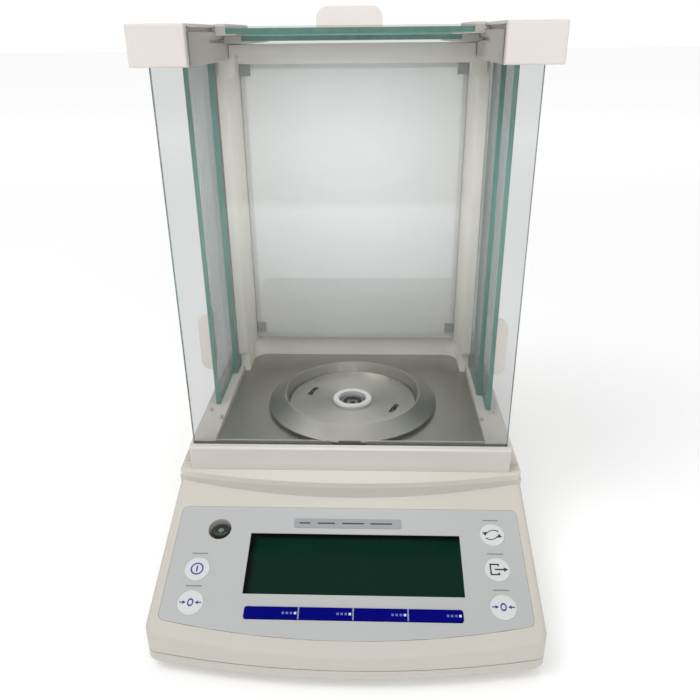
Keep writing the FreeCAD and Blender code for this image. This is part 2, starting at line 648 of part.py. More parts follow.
def weighing_station():
    """Shield dish with its two slots, the pins seen in them, and the collar in its middle."""
    dish = turned("dish_turned", [
        ("stem_hole + 2", "dish_level - dish_thick"), ("dish_radius", "dish_level - 0.2"),
        ("dish_radius", "dish_level + dish_thick - 0.2"), ("stem_hole + 2", "dish_level")])
    slots = [slot_cutter(f"dish_slot_{i}", i) for i in range(2)]
    seat(cut("dish", dish, *slots), "shield_dish", y="pan_depth", z="-floor_drop")
    pins = []
    for i in range(2):
        pin = rod(f"dish_pin_{i}", "dish_pin_radius", ("0", "dish_level + 1.6"), "slot_circle")
        pins.append(gather(f"dish_pin_turned_{i}", pin))
        turn = SLOT_TURN + PIN_TURN + 180 * i
        pins[-1].Placement.Rotation = FreeCAD.Rotation(FreeCAD.Vector(0, 0, 1), turn)
    seat(gather("dish_pins_whole", *pins), "dish_pins", y="pan_depth", z="-floor_drop")
    neck, flange = "stem_hole + 1.8", "dish_level + 0.1"
    collar = turned("collar", [
        ("stem_hole", "0.2"), (neck, "0.2"), (neck, flange), ("collar_radius", flange),
        ("collar_radius", "collar_top - 0.9"), ("collar_radius - 0.9", "collar_top"),
        ("stem_hole + 0.6", "collar_top"), ("stem_hole", "collar_top - 0.6")])
    seat(collar, "pan_collar", y="pan_depth", z="-floor_drop")


def pan_seat():
    """Cup and bored boss that carry the weighing pan, with the stem down to the weigh cell."""
    floor, boss_top = "(seat_top - seat_depth)", "(seat_top - 1)"
    inside = "seat_radius - seat_wall"
    cup = turned("cup", [("0.001", floor), ("seat_radius", floor), ("seat_radius", "seat_top"),
                         (inside, "seat_top"), (inside, f"{floor} + seat_wall"),
                         ("0.001", f"{floor} + seat_wall")])
    bore_end = f"({boss_top} - seat_bore_depth)"
    boss = rod("seat_boss_rod", "seat_boss", (f"{bore_end} - 2", boss_top))
    ribs = []
    for i in range(3):
        rib = box(f"rib_{i}", ("0.5 - seat_radius", "seat_radius - 0.5"), ("-0.5", "0.5"),
                  (floor, "seat_top - 2.2"))
        ribs.append(gather(f"rib_turned_{i}", rib))
        ribs[-1].Placement.Rotation = FreeCAD.Rotation(FreeCAD.Vector(0, 0, 1), 60 * i)
    bore = rod("seat_bore_hole", "seat_bore", (bore_end, "seat_top"))
    stem = rod("stem_rod", "stem_radius", ("floor_drop - cell_level + 1", f"{bore_end} - 1.9"))
    seat(cut("seat_whole", fuse("seat_block", cup, boss, stem, *ribs), bore), "pan_seat",
         y="pan_depth", z="-floor_drop")


def weigh_cell():
    """Aluminium parallel-guide block with its vibrating-fork sensor, on a cast base plate."""
    plate_top = f"({CASE_FLOOR} + 7)"
    plate = box("plate_block", ("-55", "55"), ("20", "190"), (CASE_FLOOR, plate_top))
    plate = rounded("plate_soft", plate, 8, upright)
    seat(gather("plate", plate), "cell_base")
    top, front, back = "-cell_level", "(pan_depth - 12)", "(pan_depth + 78)"
    block = box("cell_block", ("-22", "22"), (front, back), (f"{top} - 28", top))
    window = box("cell_window", ("-23", "23"), (f"{front} + 24", f"{back} - 24"),
                 (f"{top} - 22", f"{top} - 6"))
    flexes = [rod(f"flex_{i}", "2.6", ("-23", "23")) for i in range(4)]
    for i, flex in enumerate(flexes):
        flex.Placement.Rotation = FreeCAD.Rotation(FreeCAD.Vector(0, 1, 0), 90)
        put(flex, "-23", (f"{front} + 24", f"{back} - 24")[i % 2], (f"{top} - 19.4", f"{top} - 8.6")[i // 2])
    heel = box("cell_heel", ("-22", "22"), (f"{back} - 24", back), (plate_top, f"{top} - 28"))
    middle = f"({top} - 14)"
    room = box("fork_room", ("-23", "23"), (f"{front} + 21.4", f"{back} - 21.4"),
               (f"{middle} - 4", f"{middle} + 4"))
    seat(cut("cell", fuse("cell_solid", block, heel), window, room, *flexes), "weigh_cell")
    start, end = f"({front} + 21.6)", f"({back} - 21.6)"
    prongs = [box(f"prong_{i}", ("-3", "3"), (start, end), (f"{middle} + {z}", f"{middle} + {z} + 1.6"))
              for i, z in enumerate(("1.6", "-3.2"))]
    ends = [box("fork_front", ("-3", "3"), (start, f"{start} + 9"), (f"{middle} - 3.2", f"{middle} + 3.2")),
            box("fork_back", ("-3", "3"), (f"{end} - 9", end), (f"{middle} - 3.2", f"{middle} + 3.2"))]
    seat(fuse("fork", *prongs, *ends), "fork_sensor")


def boards():
    """Main board on its pillars, display board with its switches, and the display module."""
    level = f"({CASE_FLOOR} + 9)"
    parts = [box("main_sheet", ("-80", "80"), ("208", "312"), (level, f"{level} + board_thick"))]
    parts += [rod(f"pillar_{i}", "3", (CASE_FLOOR, level), f"{x}", f"{y}")
              for i, (x, y) in enumerate(((-74, 214), (74, 214), (-74, 306), (74, 306)))]
    chips = [("processor", -10, 245, 20, 20, 2.2), ("converter", -50, 240, 14, 10, 1.8),
             ("transformer", 40, 265, 24, 20, 18), ("capacitor", 60, 235, 10, 10, 14),
             ("header", -60, 290, 30, 8, 8)]
    for name, x, y, wide, long, high in chips:
        parts.append(box(f"main_{name}", (f"{x}", f"{x + wide}"), (f"{y}", f"{y + long}"),
                         (f"{level} + board_thick", f"{level} + board_thick + {high}")))
    seat(gather("main", *parts), "main_board")
    under = "(-wall - 4.4)"
    parts = [box("display_sheet", ("-sheet_half + 4", "sheet_half - 4"), ("-sheet_long + 8", "-5"),
                 (f"{under} - board_thick", under))]
    switch = (under, "key_proud - key_thick - key_travel - gap")
    parts += [rod(f"switch_{key}", "3", switch, f"key_{key}_x", f"-key_{key}_at") for key, _, _ in ROUND_KEYS]
    parts += [rod(f"soft_switch_{i}", "2.4", switch, f"soft_key_shift + ({i} - 1.5) * soft_key_pitch",
                  "-soft_key_at - soft_key_long / 2") for i in range(4)]
    hole = rod("level_passage", "level_radius + 3", (f"{under} - board_thick - 1", f"{under} + 1"),
               "-level_shift", "-level_at")
    holes = gather("display_cuts", cut("display_drilled", fuse("display_parts", *parts), hole))
    seat_on_console(holes, "display_board")
    module = window_cutter("module_block", (under, "-sheet_thick"), "(-window_ledge - gap)")
    seat_on_console(gather("module", module), "display_module")


def keypad():
    """Keypad sheet with its window, its keys, the rating plate and the level's vial."""
    outline = keypad_outline("sheet_outline", ("-sheet_thick", "0"))
    through = ("-2", "1")
    sheet_holes = key_holes("sheet_hole", through, "gap")
    seat_on_console(cut("keypad", outline, *sheet_holes, window_cutter("sheet_window", through, "gap / 2")),
                    "keypad_sheet")
    window = window_cutter("window_block", ("-sheet_thick", "0"), "0")
    seat_on_console(gather("window", window), "display_window")
    span = ("key_proud - key_thick", "key_proud")
    for key, _, _ in ROUND_KEYS:
        disc = rod(f"disc_{key}", "key_radius", span, f"key_{key}_x", f"-key_{key}_at")
        rim = size["key_proud"]
        soft = rounded(f"dome_{key}", disc, size["key_proud"], lambda e: lies(e, z=rim))
        seat_on_console(gather(f"round_key_{key}", soft), f"key_{key}")
    for i in range(4):
        cap = soft_key_block(f"soft_block_{i}", i, span)
        seat_on_console(gather(f"soft_cap_{i}", cap), f"key_function_{i + 1}")
    plate = box("plate_sheet", ("-plate_wide / 2", "plate_wide / 2"), ("-plate_at - plate_long", "-plate_at"),
                ("0", "plate_thick"))
    plate = rounded("plate_soft", plate, size["plate_round"], upright)
    seat_on_console(gather("plate_whole", plate), "rating_plate")
    low = "(-console_drop - level_at * sin(console_slope * 1deg) - 8.0 * cos(console_slope * 1deg))"
    deep = "(-console_back - level_at * cos(console_slope * 1deg) + 8.0 * sin(console_slope * 1deg))"
    vial = rod("vial_block", "vial_radius - 0.6", ("0", "vial_high - 0.6"))
    seat(gather("vial", vial), "level_vial", x="-level_shift", y=f"{deep} - 0.4", z=f"{low} + 0.6")


def front_glass():
    """Fixed front pane and the clip that holds its foot."""
    pane = box("front_pane", ("-front_half_width", "front_half_width"), ("0", "pane"),
               ("gap / 2 - pane_sink", "front_top"))
    seat(gather("front", pane), "front_pane")
    return box("front_clip", ("-front_clip_half", "front_clip_half"), ("pane + gap / 2", "bar_back"),
               ("-front_clip_deep", "front_clip_top"))


def rails():
    """Hollow top rails: grooves for the top doors inside, a slot for the side doors below."""
    block = box("rail_block", ("rail_inner", "rail_outer"), ("-bar_reach", RAIL_END),
                ("rail_bottom", "rail_top"))
    soft = rounded("rail_soft", block, size["rail_round"],
                   lambda e: lies(e, x=size["rail_outer"]) or lies(e, y=-size["bar_reach"]))
    inside = "inner_door_inside - gap - 0.1"
    outside = f"{OUTER_DOOR} + pane + gap + 0.1"
    run, lower_run = ("pane - 0.5", f"{RAIL_END} - rail_cap"), ("50", f"{RAIL_END} - rail_cap")
    groove = ("rail_inner - 1", "rail_inner + tongue + gap")
    tools = [
        box("slot_narrow", (inside, outside), run, ("rail_bottom - 1", "hanger_top - flange_thick - gap")),
        box("slot_wide", (f"{inside} - hanger_flange", f"{outside} + hanger_flange"), run,
            ("hanger_top - flange_thick - gap - 0.01", "hanger_top + gap")),
        box("slot_pane", ("rail_inner - 1", "front_half_width + gap"), ("-gap / 2", "pane + gap / 2"),
            ("rail_bottom - 1", "front_top + gap")),
        box("groove_upper", groove, run, ("upper_glass_bottom + 1.1", "upper_glass_bottom + 3.2")),
        box("groove_lower", groove, lower_run, ("lower_glass_bottom - 0.7", "lower_glass_bottom + 1.3")),
        box("face_step", ("rail_inner - 1", "rail_inner + 0.5"), lower_run,
            ("rail_bottom + 1.6", "upper_glass_bottom - 1.4")),
    ]
    right = cut("rail_right_whole", soft, *tools)
    seat(gather("rail_right_one", right), "right_rail")
    mirror = doc.addObject("Part::Mirroring", "rail_left_whole")
    mirror.Source = right
    mirror.Normal = FreeCAD.Vector(1, 0, 0)
    seat(gather("rail_left_one", mirror), "left_rail")


def rear_frame(front_clip):
    """Rear posts, header, glass rebate, the rear pane and all the pane clips."""
    posts, bracket_foot = [], size["rail_bottom"] - size["bracket_drop"]
    glass_front, header_span = "(rear_glass_depth - 3)", ("post_front - 4", "post_front + header_deep - 4")
    plan = (("post_outer", "post_front"), (POST_MOUTH, "post_front"), (POST, glass_front),
            (POST, "rear_back"), ("post_outer", "rear_back"))
    for side, name in ((-1, "left"), (1, "right")):
        corners = [(f"{side} * {across}", behind) for across, behind in plan]
        post = bar(f"{name}_post", "XY_Plane", corners, "rail_bottom - sill_height")
        posts.append(put(post, 0, 0, "sill_height"))
        bracket = box(f"{name}_bracket", mirrored(side, f"{POST} - 3", "post_outer - 2.4"),
                      ("post_front - 4", "post_front + 0.01"),
                      ("rail_bottom - bracket_drop", "rail_bottom - 0.1"))
        posts.append(rounded(f"{name}_bracket_soft", bracket, 3,
                             lambda e: lies(e, z=bracket_foot) and level_with(e, "X")))
        posts.append(box(f"{name}_web", mirrored(side, f"{POST} - 3", "rail_inner - 0.1"), header_span,
                         ("rail_bottom - 2", "header_bottom + 0.01")))
    inner = ("0.1 - rail_inner", "rail_inner - 0.1")
    behind, tie_bottom = (glass_front, "rear_back"), "rail_bottom - 3.7"
    parts = [box("header", inner, header_span, ("header_bottom", "header_top")),
             box("top_member", inner, behind, (tie_bottom, "header_top")),
             box("top_tie", (f"-{POST} - 1", f"{POST} + 1"), behind, (tie_bottom, "rail_bottom"))]
    for side, name in ((-1, "left"), (1, "right")):
        parts.append(box(f"{name}_header_link", mirrored(side, "rail_inner - 6", "rail_inner - 0.1"),
                         ("post_front", "rear_glass_depth"), ("header_bottom", "header_top")))
    lip = box("lip_block", (f"-{POST} - 1", f"{POST} + 1"), ("rear_glass_depth + pane + gap", "rear_back"),
              ("sill_height", "rail_bottom"))
    light = box("lip_light", (f"3 - {POST}", f"{POST} - 3"), ("rear_glass_depth", "rear_back + 1"),
                ("sill_height + 3", "rail_bottom - 7"))
    seat(fuse("frame", *posts, *parts, cut("lip_whole", lip, light)), "rear_frame")
    pane = box("rear_pane_block", (f"gap - {POST}", f"{POST} - gap"),
               ("rear_glass_depth", "rear_glass_depth + pane"),
               ("sill_height + glass_margin", f"{tie_bottom} - glass_margin"))
    seat(gather("rear_pane_whole", pane), "rear_pane")
    clips, proud = [], ("rear_glass_depth - clip_thick", "rear_glass_depth")
    for row, low in enumerate(("sill_height + 6", "rail_bottom - clip_size - 4.2")):
        for side, name in ((-1, "left"), (1, "right")):
            span = mirrored(side, f"{POST} - clip_size - gap", f"{POST} - gap")
            clips.append(box(f"{name}_rear_clip_{row}", span, proud, (low, f"{low} + clip_size")))
    seat(gather("clips_whole", front_clip, *clips), "pane_clips")


def rear_sill():
    """Moulding under the rear frame, with rounded inner corners."""
    run = ("sill_front", "sill_back")
    block = box("sill_block", ("-post_outer", "post_outer"), run, ("0", "sill_height"))
    foot = box("sill_foot", ("gap - track_inner", "track_inner - gap"), run, ("-floor_drop", "0"))
    room = box("sill_room", (f"-{POST_MOUTH}", POST_MOUTH), ("sill_front - 20", "sill_back - sill_wall"),
               ("-floor_drop - 1", "sill_height + 1"))
    room = rounded("sill_room_soft", room, size["sill_round"], upright)
    seat(cut("sill", fuse("sill_solid", block, foot), room), "rear_sill")


def side_door(name, side, inside, at, flange_out, handle):
    """One hung glass panel with its hanger, and its finger pull if it has one."""
    glass_span, run = mirrored(side, inside, f"{inside} + pane"), ("0", "door_long")
    glass = box(f"{name}_pane_block", glass_span, run, ("door_bottom", "door_top"))
    seat(gather(f"{name}_pane_whole", glass), f"{name}_pane", y=at)
    inward, outward = ("0", "hanger_flange") if flange_out else ("hanger_flange", "0")
    flange = mirrored(side, f"{inside} - {inward}", f"{inside} + pane + {outward}")
    parts = [box(f"{name}_hanger_strip", glass_span, run, ("door_top", "hanger_top")),
             box(f"{name}_hanger_flange", flange, run, ("hanger_top - flange_thick", "hanger_top"))]
    seat(fuse(f"{name}_hanger_whole", *parts), f"{name}_hanger", y=at)
    if not handle:
        return
    outside = f"({inside} + pane)"
    fin = box(f"{name}_fin", mirrored(side, outside, f"{outside} + handle_reach"), ("0", "handle_thick"),
              ("handle_bottom", "handle_bottom + handle_high"))
    free = side * (size["inner_door_inside"] + 2 * size["pane"] + size["door_gap"] + size["handle_reach"])
    fin = rounded(f"{name}_fin_soft", fin, size["handle_round"],
                  lambda e: lies(e, x=free) and not level_with(e, "Y"))
    base = box(f"{name}_pull_base", mirrored(side, outside, f"{outside} + handle_foot"), ("0", "handle_grip"),
               ("handle_bottom + 1", "handle_bottom + handle_high - 1"))
    seat(fuse(f"{name}_pull_whole", fin, base), f"{name}_pull", y=at)


def top_door(name, half, bottom, thick, at, high, foot, tongue_low, tongue_high):
    """One sliding roof panel and its pair of runners."""
    glass = box(f"{name}_pane_block", (f"-{half}", half), ("0", "door_long"), (bottom, f"{bottom} + {thick}"))
    seat(gather(f"{name}_pane_whole", glass), f"{name}_pane", y=at)
    runners, run, foot_low = [], ("0", "door_long"), f"{bottom} - {foot}"
    for side, word in ((-1, "left"), (1, "right")):
        outside = mirrored(side, f"{half} + 0.1", "rail_inner - gap")
        under = mirrored(side, f"{half} - 6", f"{half} + 0.1")
        tongue = mirrored(side, "rail_inner - gap", "rail_inner + tongue")
        parts = [box(f"{name}_{word}_block", outside, run, (foot_low, high)),
                 box(f"{name}_{word}_foot", under, run, (foot_low, f"{bottom} - 0.05")),
                 box(f"{name}_{word}_tongue", tongue, run, (tongue_low, tongue_high))]
        runners.append(fuse(f"{name}_{word}_runner", *parts))
    seat(gather(f"{name}_runners_whole", *runners), f"{name}_runners", y=at)


def doors():
    """All six sliding panels of the draught shield."""
    side_door("left_outer_door", -1, OUTER_DOOR, "left_outer_at", True, True)
    side_door("left_inner_door", -1, "inner_door_inside", "left_inner_at", False, False)
    side_door("right_outer_door", 1, OUTER_DOOR, "right_outer_at", True, True)
    side_door("right_inner_door", 1, "inner_door_inside", "right_inner_at", False, False)
    top_door("top_upper_door", "(rail_inner - upper_runner)", "upper_glass_bottom", "pane",
             "top_upper_at", "rail_top + 0.4", "upper_foot",
             "upper_glass_bottom + 1.4", "upper_glass_bottom + 2.9")
    top_door("top_lower_door", "(rail_inner - lower_runner)", "lower_glass_bottom", "lower_glass_thick",
             "top_lower_at", "lower_glass_bottom + lower_glass_thick", "lower_foot",
             "lower_glass_bottom - 0.4", "lower_glass_bottom + 1")
    glass_top = "(upper_glass_bottom + pane)"
    fin = box("top_fin", ("-top_handle_half", "top_handle_half"), ("0", "handle_thick"),
              (glass_top, f"{glass_top} + top_handle_high"))
    peak = size["upper_glass_bottom"] + size["pane"] + size["top_handle_high"]
    fin = rounded("top_fin_soft", fin, size["handle_round"],
                  lambda e: lies(e, z=peak) and not level_with(e, "Y"))
    base = box("top_pull_base", ("1 - top_handle_half", "top_handle_half - 1"), ("0", "handle_grip"),
               (glass_top, f"{glass_top} + handle_foot"))
    seat(fuse("top_pull_whole", fin, base), "top_upper_door_pull", y="top_upper_at")


def feet():
    """Adjusting feet in front, plain rubber feet behind."""
    table = "-track_level"
    for side, name in ((-1, "left"), (1, "right")):
        where = {"x": f"{side} * foot_across", "y": "-front_foot_at", "z": table}
        pad = rod(f"{name}_pad_rod", "pad_radius", ("0", "pad_high"))
        seat(gather(f"{name}_pad_whole", rounded(f"{name}_pad_soft", pad, 0.8, lambda e: lies(e, z=0))),
             f"{name}_foot_pad", **where)
        wheel = rod(f"{name}_wheel_rod", "wheel_radius", ("pad_high", "pad_high + wheel_high"))
        wheel = rounded(f"{name}_wheel_soft", wheel, 0.6, lambda e: lies(e, z=size["pad_high"])
                        or lies(e, z=size["pad_high"] + size["wheel_high"]))
        screw = rod(f"{name}_screw_rod", "screw_radius",
                    ("pad_high + wheel_high", "underside + boss_high - 2"))
        seat(fuse(f"{name}_foot_whole", wheel, screw), f"{name}_foot_screw", **where)
    pads = [rod(f"rear_pad_{i}", "pad_radius", ("-track_level", "underside - track_level"),
                f"{side} * foot_across", "rear_foot_at") for i, side in enumerate((-1, 1))]
    seat(gather("rear_pads", *pads), "rear_feet")


def back_panel():
    """Connector panel in the back wall, with the power inlet and the serial port."""
    face = f"({BACK} - panel_recess)"
    low, high = "(back_panel_low - track_level)", "(back_panel_low + back_panel_high - track_level)"
    through = (f"{face} - wall - 1", f"{face} + 1")
    block = box("panel_block", ("-back_panel_half", "back_panel_half"), (f"{face} - wall", BACK), (low, high))
    tray = box("panel_tray", ("panel_rim - back_panel_half", "back_panel_half - panel_rim"),
               (face, f"{BACK} + 1"), (f"{low} + panel_rim", f"{high} - panel_rim"))
    jack_hole = barrel("jack_hole", "jack_radius + gap / 2", through, "jack_shift")
    port_hole = port_box("port_hole", "port_half + gap / 2", "port_half_high + gap / 2", through)
    seat(cut("panel", block, tray, jack_hole, port_hole), "back_panel")
    body = barrel("jack_body", "jack_radius", (f"{face} - 12", f"{face} + 0.6"), "jack_shift")
    mouth = barrel("jack_mouth", "jack_bore", (f"{face} - 9", f"{face} + 1.6"), "jack_shift")
    pin = barrel("jack_pin", "1", (f"{face} - 9.5", f"{face} - 0.6"), "jack_shift")
    seat(fuse("jack_whole", cut("jack_bored", body, mouth), pin), "power_inlet")
    flange = port_box("port_flange", "port_half", "port_half_high", (f"{face} - 9", f"{face} + 0.8"))
    shell = port_box("port_shell", "port_shell_half", "port_shell_half_high",
                     (f"{face} - 1", f"{face} + 5.4"))
    hollow = port_box("port_hollow", "port_shell_half - 0.6", "port_shell_half_high - 0.6",
                      (f"{face} - 5", f"{face} + 8"))
    pins = []
    for rise, count in ((1.4, 5), (-1.4, 4)):
        for i in range(count):
            across = f"-port_shift + {i - (count - 1) / 2} * port_pin_pitch"
            pins.append(barrel(f"port_pin_{count}_{i}", "0.5", (f"{face} - 6", f"{face} + 3.6"),
                               across, rise))
    socket = cut("port_open", fuse("port_outer", flange, shell), hollow)
    seat(fuse("port_whole", socket, *pins), "serial_port")


def barrel(name, radius, run, across, rise=0):
    """Cylinder along Y at the sockets' level, or above it by a rise."""
    tube = doc.addObject("Part::Cylinder", name)
    bind(tube, Radius=radius, Height=f"({run[1]}) - ({run[0]})")
    tube.Placement.Rotation = FreeCAD.Rotation(FreeCAD.Vector(1, 0, 0), -90)
    return put(tube, across, f"({run[0]})", f"socket_level - track_level + {rise}")


def port_box(name, half, half_high, run):
    """Block centred on the serial port."""
    middle = "socket_level - track_level"
    return box(name, (f"-port_shift - ({half})", f"-port_shift + ({half})"), run,
               (f"{middle} - ({half_high})", f"{middle} + ({half_high})"))


def case_screws():
    """Six screws that close the case from below."""
    low = "(underside - track_level)"
    screws = []
    for i, (x, y) in enumerate(case_screw_places()):
        head = rod(f"screw_head_{i}", "case_screw_radius * 1.8", (f"{low} - 1.6", low), x, y)
        shank = rod(f"screw_shank_{i}", "case_screw_radius", (f"{low} - 0.1", f"{low} + 12"), x, y)
        screws.append(fuse(f"screw_{i}", head, shank))
    seat(gather("screws", *screws), "case_screws")


def check_and_write():
    """Stop on any failed object, then write one STEP file for each sub-part."""
    doc.recompute()
    failed = [obj.Name for obj in doc.Objects if "Invalid" in obj.State or "Error" in obj.State]
    if failed:
        raise RuntimeError(f"failed objects: {failed}")
    for label, obj in PIECES.items():
        shape = obj.Shape
        if shape.isNull() or not shape.isValid() or not shape.Solids:
            raise RuntimeError(f"{label} has no valid solid")
    os.makedirs("parts", exist_ok=True)
    for label, obj in PIECES.items():
        obj.Shape.exportStep(f"parts/{label}.step")
        print(f"{label:24s} {len(obj.Shape.Solids):2d} solids {obj.Shape.Volume / 1000:9.2f} cm3")


fill_sheet()
lower_case()
upper_case()
deck_cover()
chamber_base()
floor_plate()
draught_ring()
weighing_station()
pan_seat()
weigh_cell()
boards()
keypad()
front_clip = front_glass()
rails()
rear_frame(front_clip)
rear_sill()
doors()
feet()
back_panel()
case_screws()
check_and_write()
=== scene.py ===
"""Looks of the analytical balance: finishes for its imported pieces, and its printed and fitted details."""

import json
import math

import bmesh
import bpy
from mathutils import Matrix, Vector


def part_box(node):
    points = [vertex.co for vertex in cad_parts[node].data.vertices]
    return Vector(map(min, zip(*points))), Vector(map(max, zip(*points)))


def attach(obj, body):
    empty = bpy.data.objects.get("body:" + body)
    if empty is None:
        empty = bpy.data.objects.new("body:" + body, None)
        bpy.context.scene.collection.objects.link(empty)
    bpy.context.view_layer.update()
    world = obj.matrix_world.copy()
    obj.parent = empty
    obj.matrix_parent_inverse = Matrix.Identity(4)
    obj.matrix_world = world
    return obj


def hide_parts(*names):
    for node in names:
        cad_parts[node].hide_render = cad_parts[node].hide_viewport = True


bl_info = {
    "name": "Analytical Balance",
    "version": (1, 0, 0),
    "blender": (4, 5, 0),
    "location": "View3D > Sidebar > Balance",
    "description": "Finishes and details of a laboratory balance with a sliding glass shield",
    "category": "Object",
}

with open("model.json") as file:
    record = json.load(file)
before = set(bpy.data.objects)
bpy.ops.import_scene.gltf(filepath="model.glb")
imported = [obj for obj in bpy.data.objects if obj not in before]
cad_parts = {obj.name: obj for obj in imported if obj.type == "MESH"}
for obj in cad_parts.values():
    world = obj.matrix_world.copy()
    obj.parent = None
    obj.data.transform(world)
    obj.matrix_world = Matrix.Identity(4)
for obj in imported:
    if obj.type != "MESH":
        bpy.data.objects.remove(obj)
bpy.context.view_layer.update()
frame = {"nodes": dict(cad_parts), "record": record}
MM = 0.001
JOINTS = {joint["name"]: joint for joint in frame["record"]["behaviour"]["joints"]}
PRESS_AXIS = JOINTS["key_power_press"]["axis"]
SLOPE = math.atan2(PRESS_AXIS[1], -PRESS_AXIS[2])
SIDES = (("left", -1), ("right", 1))
ROUND_KEYS = ("power", "zero_left", "menu", "output", "zero_right")


def middle(node):
    """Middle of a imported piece's box."""
    low, high = (Vector(corner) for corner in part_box(node))
    return (low + high) / 2


def console_frame():
    """Frame of the leaning keypad: origin at its back edge, X right, Y up the slope, Z out of it."""
    low, high = (Vector(corner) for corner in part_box("keypad_sheet"))
    sheet_thick = (high.z - low.z - (high.y - low.y) * math.tan(SLOPE)) * math.cos(SLOPE)
    origin = Vector((0, high.y - sheet_thick * math.sin(SLOPE), high.z))
    return Matrix.Translation(origin) @ Matrix.Rotation(SLOPE, 4, "X")


CONSOLE = console_frame()


# ---------------------------------------------------------------- shader maths


class Field:
    """A shader socket that Python expressions act on."""

    def __init__(self, shader, socket):
        self.shader = shader
        self.socket = socket

    def math(self, operation, *values):
        return self.shader.node("ShaderNodeMath", {"operation": operation}, dict(enumerate(values)))

    def __add__(self, other):
        return self.math("ADD", self, other)

    def __sub__(self, other):
        return self.math("SUBTRACT", self, other)

    def __rsub__(self, other):
        return self.math("SUBTRACT", other, self)

    def __mul__(self, other):
        return self.math("MULTIPLY", self, other)

    def __truediv__(self, other):
        return self.math("DIVIDE", self, other)

    def __gt__(self, other):
        return self.math("GREATER_THAN", self, other)

    def __abs__(self):
        return self.math("ABSOLUTE", self)

    __radd__ = __add__
    __rmul__ = __mul__

    def between(self, low, high):
        """0 below low and 1 above high, with a straight ramp."""
        return self.shader.node("ShaderNodeMapRange", {"clamp": True}, {0: self, 1: low, 2: high})


class Shader:
    """A material, or the world, built from nodes."""

    def __init__(self, name, kind="materials", place="Object"):
        self.block = getattr(bpy.data, kind).new(name)
        self.block.use_nodes = True
        self.tree = self.block.node_tree
        self.tree.nodes.clear()
        self.place = self.node("ShaderNodeTexCoord", output=place)

    def node(self, kind, settings=None, inputs=None, output=0):
        """Add a node: its settings first, then the values or links of its sockets."""
        made = self.tree.nodes.new(kind)
        for name, value in (settings or {}).items():
            setattr(made, name, value)
        for name, value in (inputs or {}).items():
            if isinstance(value, Field):
                self.tree.links.new(value.socket, made.inputs[name])
            else:
                made.inputs[name].default_value = value
        return Field(self, made.outputs[output])

    def split(self, vector):
        """The three parts of a vector."""
        parts = self.node("ShaderNodeSeparateXYZ", inputs={0: vector})
        return [Field(self, socket) for socket in parts.socket.node.outputs]

    def join(self, x, y, z):
        """A vector from three numbers."""
        return self.node("ShaderNodeCombineXYZ", inputs={0: x, 1: y, 2: z})

    def noise(self, scale, detail=2.0, vector=None):
        """Noise from 0 to 1 over the piece, or over another vector."""
        return self.node("ShaderNodeTexNoise", inputs={
            "Vector": vector or self.place, "Scale": scale, "Detail": detail})

    def blend(self, factor, first, second):
        """One colour going over into another."""
        return self.node("ShaderNodeMix", {"data_type": "RGBA"}, {0: factor, 6: first, 7: second}, output=2)

    def bump(self, height, depth, strength=1.0):
        """Normal from a height of 0 to 1 that stands depth metres high."""
        return self.node("ShaderNodeBump", inputs={
            "Height": height, "Distance": depth, "Strength": strength})

    def surface(self, **sockets):
        """A Principled shader from its socket values, with spaces as underscores."""
        inputs = {name.replace("_", " "): value for name, value in sockets.items()}
        return self.node("ShaderNodeBsdfPrincipled", inputs=inputs)

    def finish(self, shader, kind="ShaderNodeOutputMaterial"):
        """Link a shader to the output and give the material or the world."""
        output = self.tree.nodes.new(kind)
        self.tree.links.new(shader.socket, output.inputs["Surface"])
        return self.block


def shade(colour, factor):
    """A colour made lighter or darker."""
    return tuple(min(1.0, part * factor) for part in colour[:3]) + (1.0,)


# ---------------------------------------------------------------- finishes


def moulded(name, colour, gloss=0.46, grain=0.05):
    """Moulded plastic with a fine spark-eroded grain."""
    s = Shader(name)
    cloud = s.noise(24.0, 3.0)
    grains = s.noise(2600.0, 2.0)
    tone = s.blend(cloud, shade(colour, 0.965), shade(colour, 1.03))
    return s.finish(s.surface(
        Base_Color=tone, Roughness=gloss - 0.06 + 0.1 * grains + 0.05 * cloud,
        Normal=s.bump(grains, grain * MM), Specular_IOR_Level=0.42))


def straight_brushed(name, colour, rough=0.3):
    """Stainless sheet brushed from side to side."""
    s = Shader(name)
    x, y, z = s.split(s.place)
    streaks = s.noise(1.0, 4.0, s.join(x * 14.0, y * 2600.0, z * 2600.0))
    broad = s.noise(1.0, 2.0, s.join(x * 5.0, y * 160.0, z * 160.0))
    tone = s.blend(streaks, shade(colour, 0.88), shade(colour, 1.12))
    return s.finish(s.surface(
        Base_Color=tone, Metallic=1.0, Roughness=rough + 0.14 * streaks + 0.06 * broad,
        Normal=s.bump(streaks, 0.012 * MM), Anisotropic=0.35))


def round_brushed(name, colour, centre, rough=0.26, anisotropic=0.55):
    """Stainless turned about an upright axis, brushed round it, with a painted reflection: lighter towards
    front and back, darker at the sides.
    """
    s = Shader(name)
    x, y, z = s.split(s.place)
    dx, dy = x - centre.x, y - centre.y
    reach = s.node("ShaderNodeVectorMath", {"operation": "LENGTH"},
                   {0: s.join(dx, dy, 0.0)}, output="Value")
    around = s.join(reach * 2400.0, dx / reach * 1.6, dy / reach * 1.6 + z * 2400.0)
    streaks = s.noise(1.0, 3.0, around)
    # Painted reflection: the colour is swept lighter towards front and back and darker at the sides, broken
    # into soft sectors.
    reflection_sectors = s.noise(1.0, 1.0, s.join(dx / reach * 1.3, dy / reach * 1.3, 4.0))
    ahead = dy / reach
    painted_reflection_sweep = ahead * ahead * (0.7 + 0.3 * reflection_sectors)
    tone = s.blend(0.25 * streaks + 0.75 * painted_reflection_sweep, shade(colour, 0.5), shade(colour, 1.2))
    return s.finish(s.surface(
        Base_Color=tone, Metallic=1.0, Roughness=rough + 0.13 * streaks,
        Normal=s.bump(streaks, 0.012 * MM), Anisotropic=anisotropic))


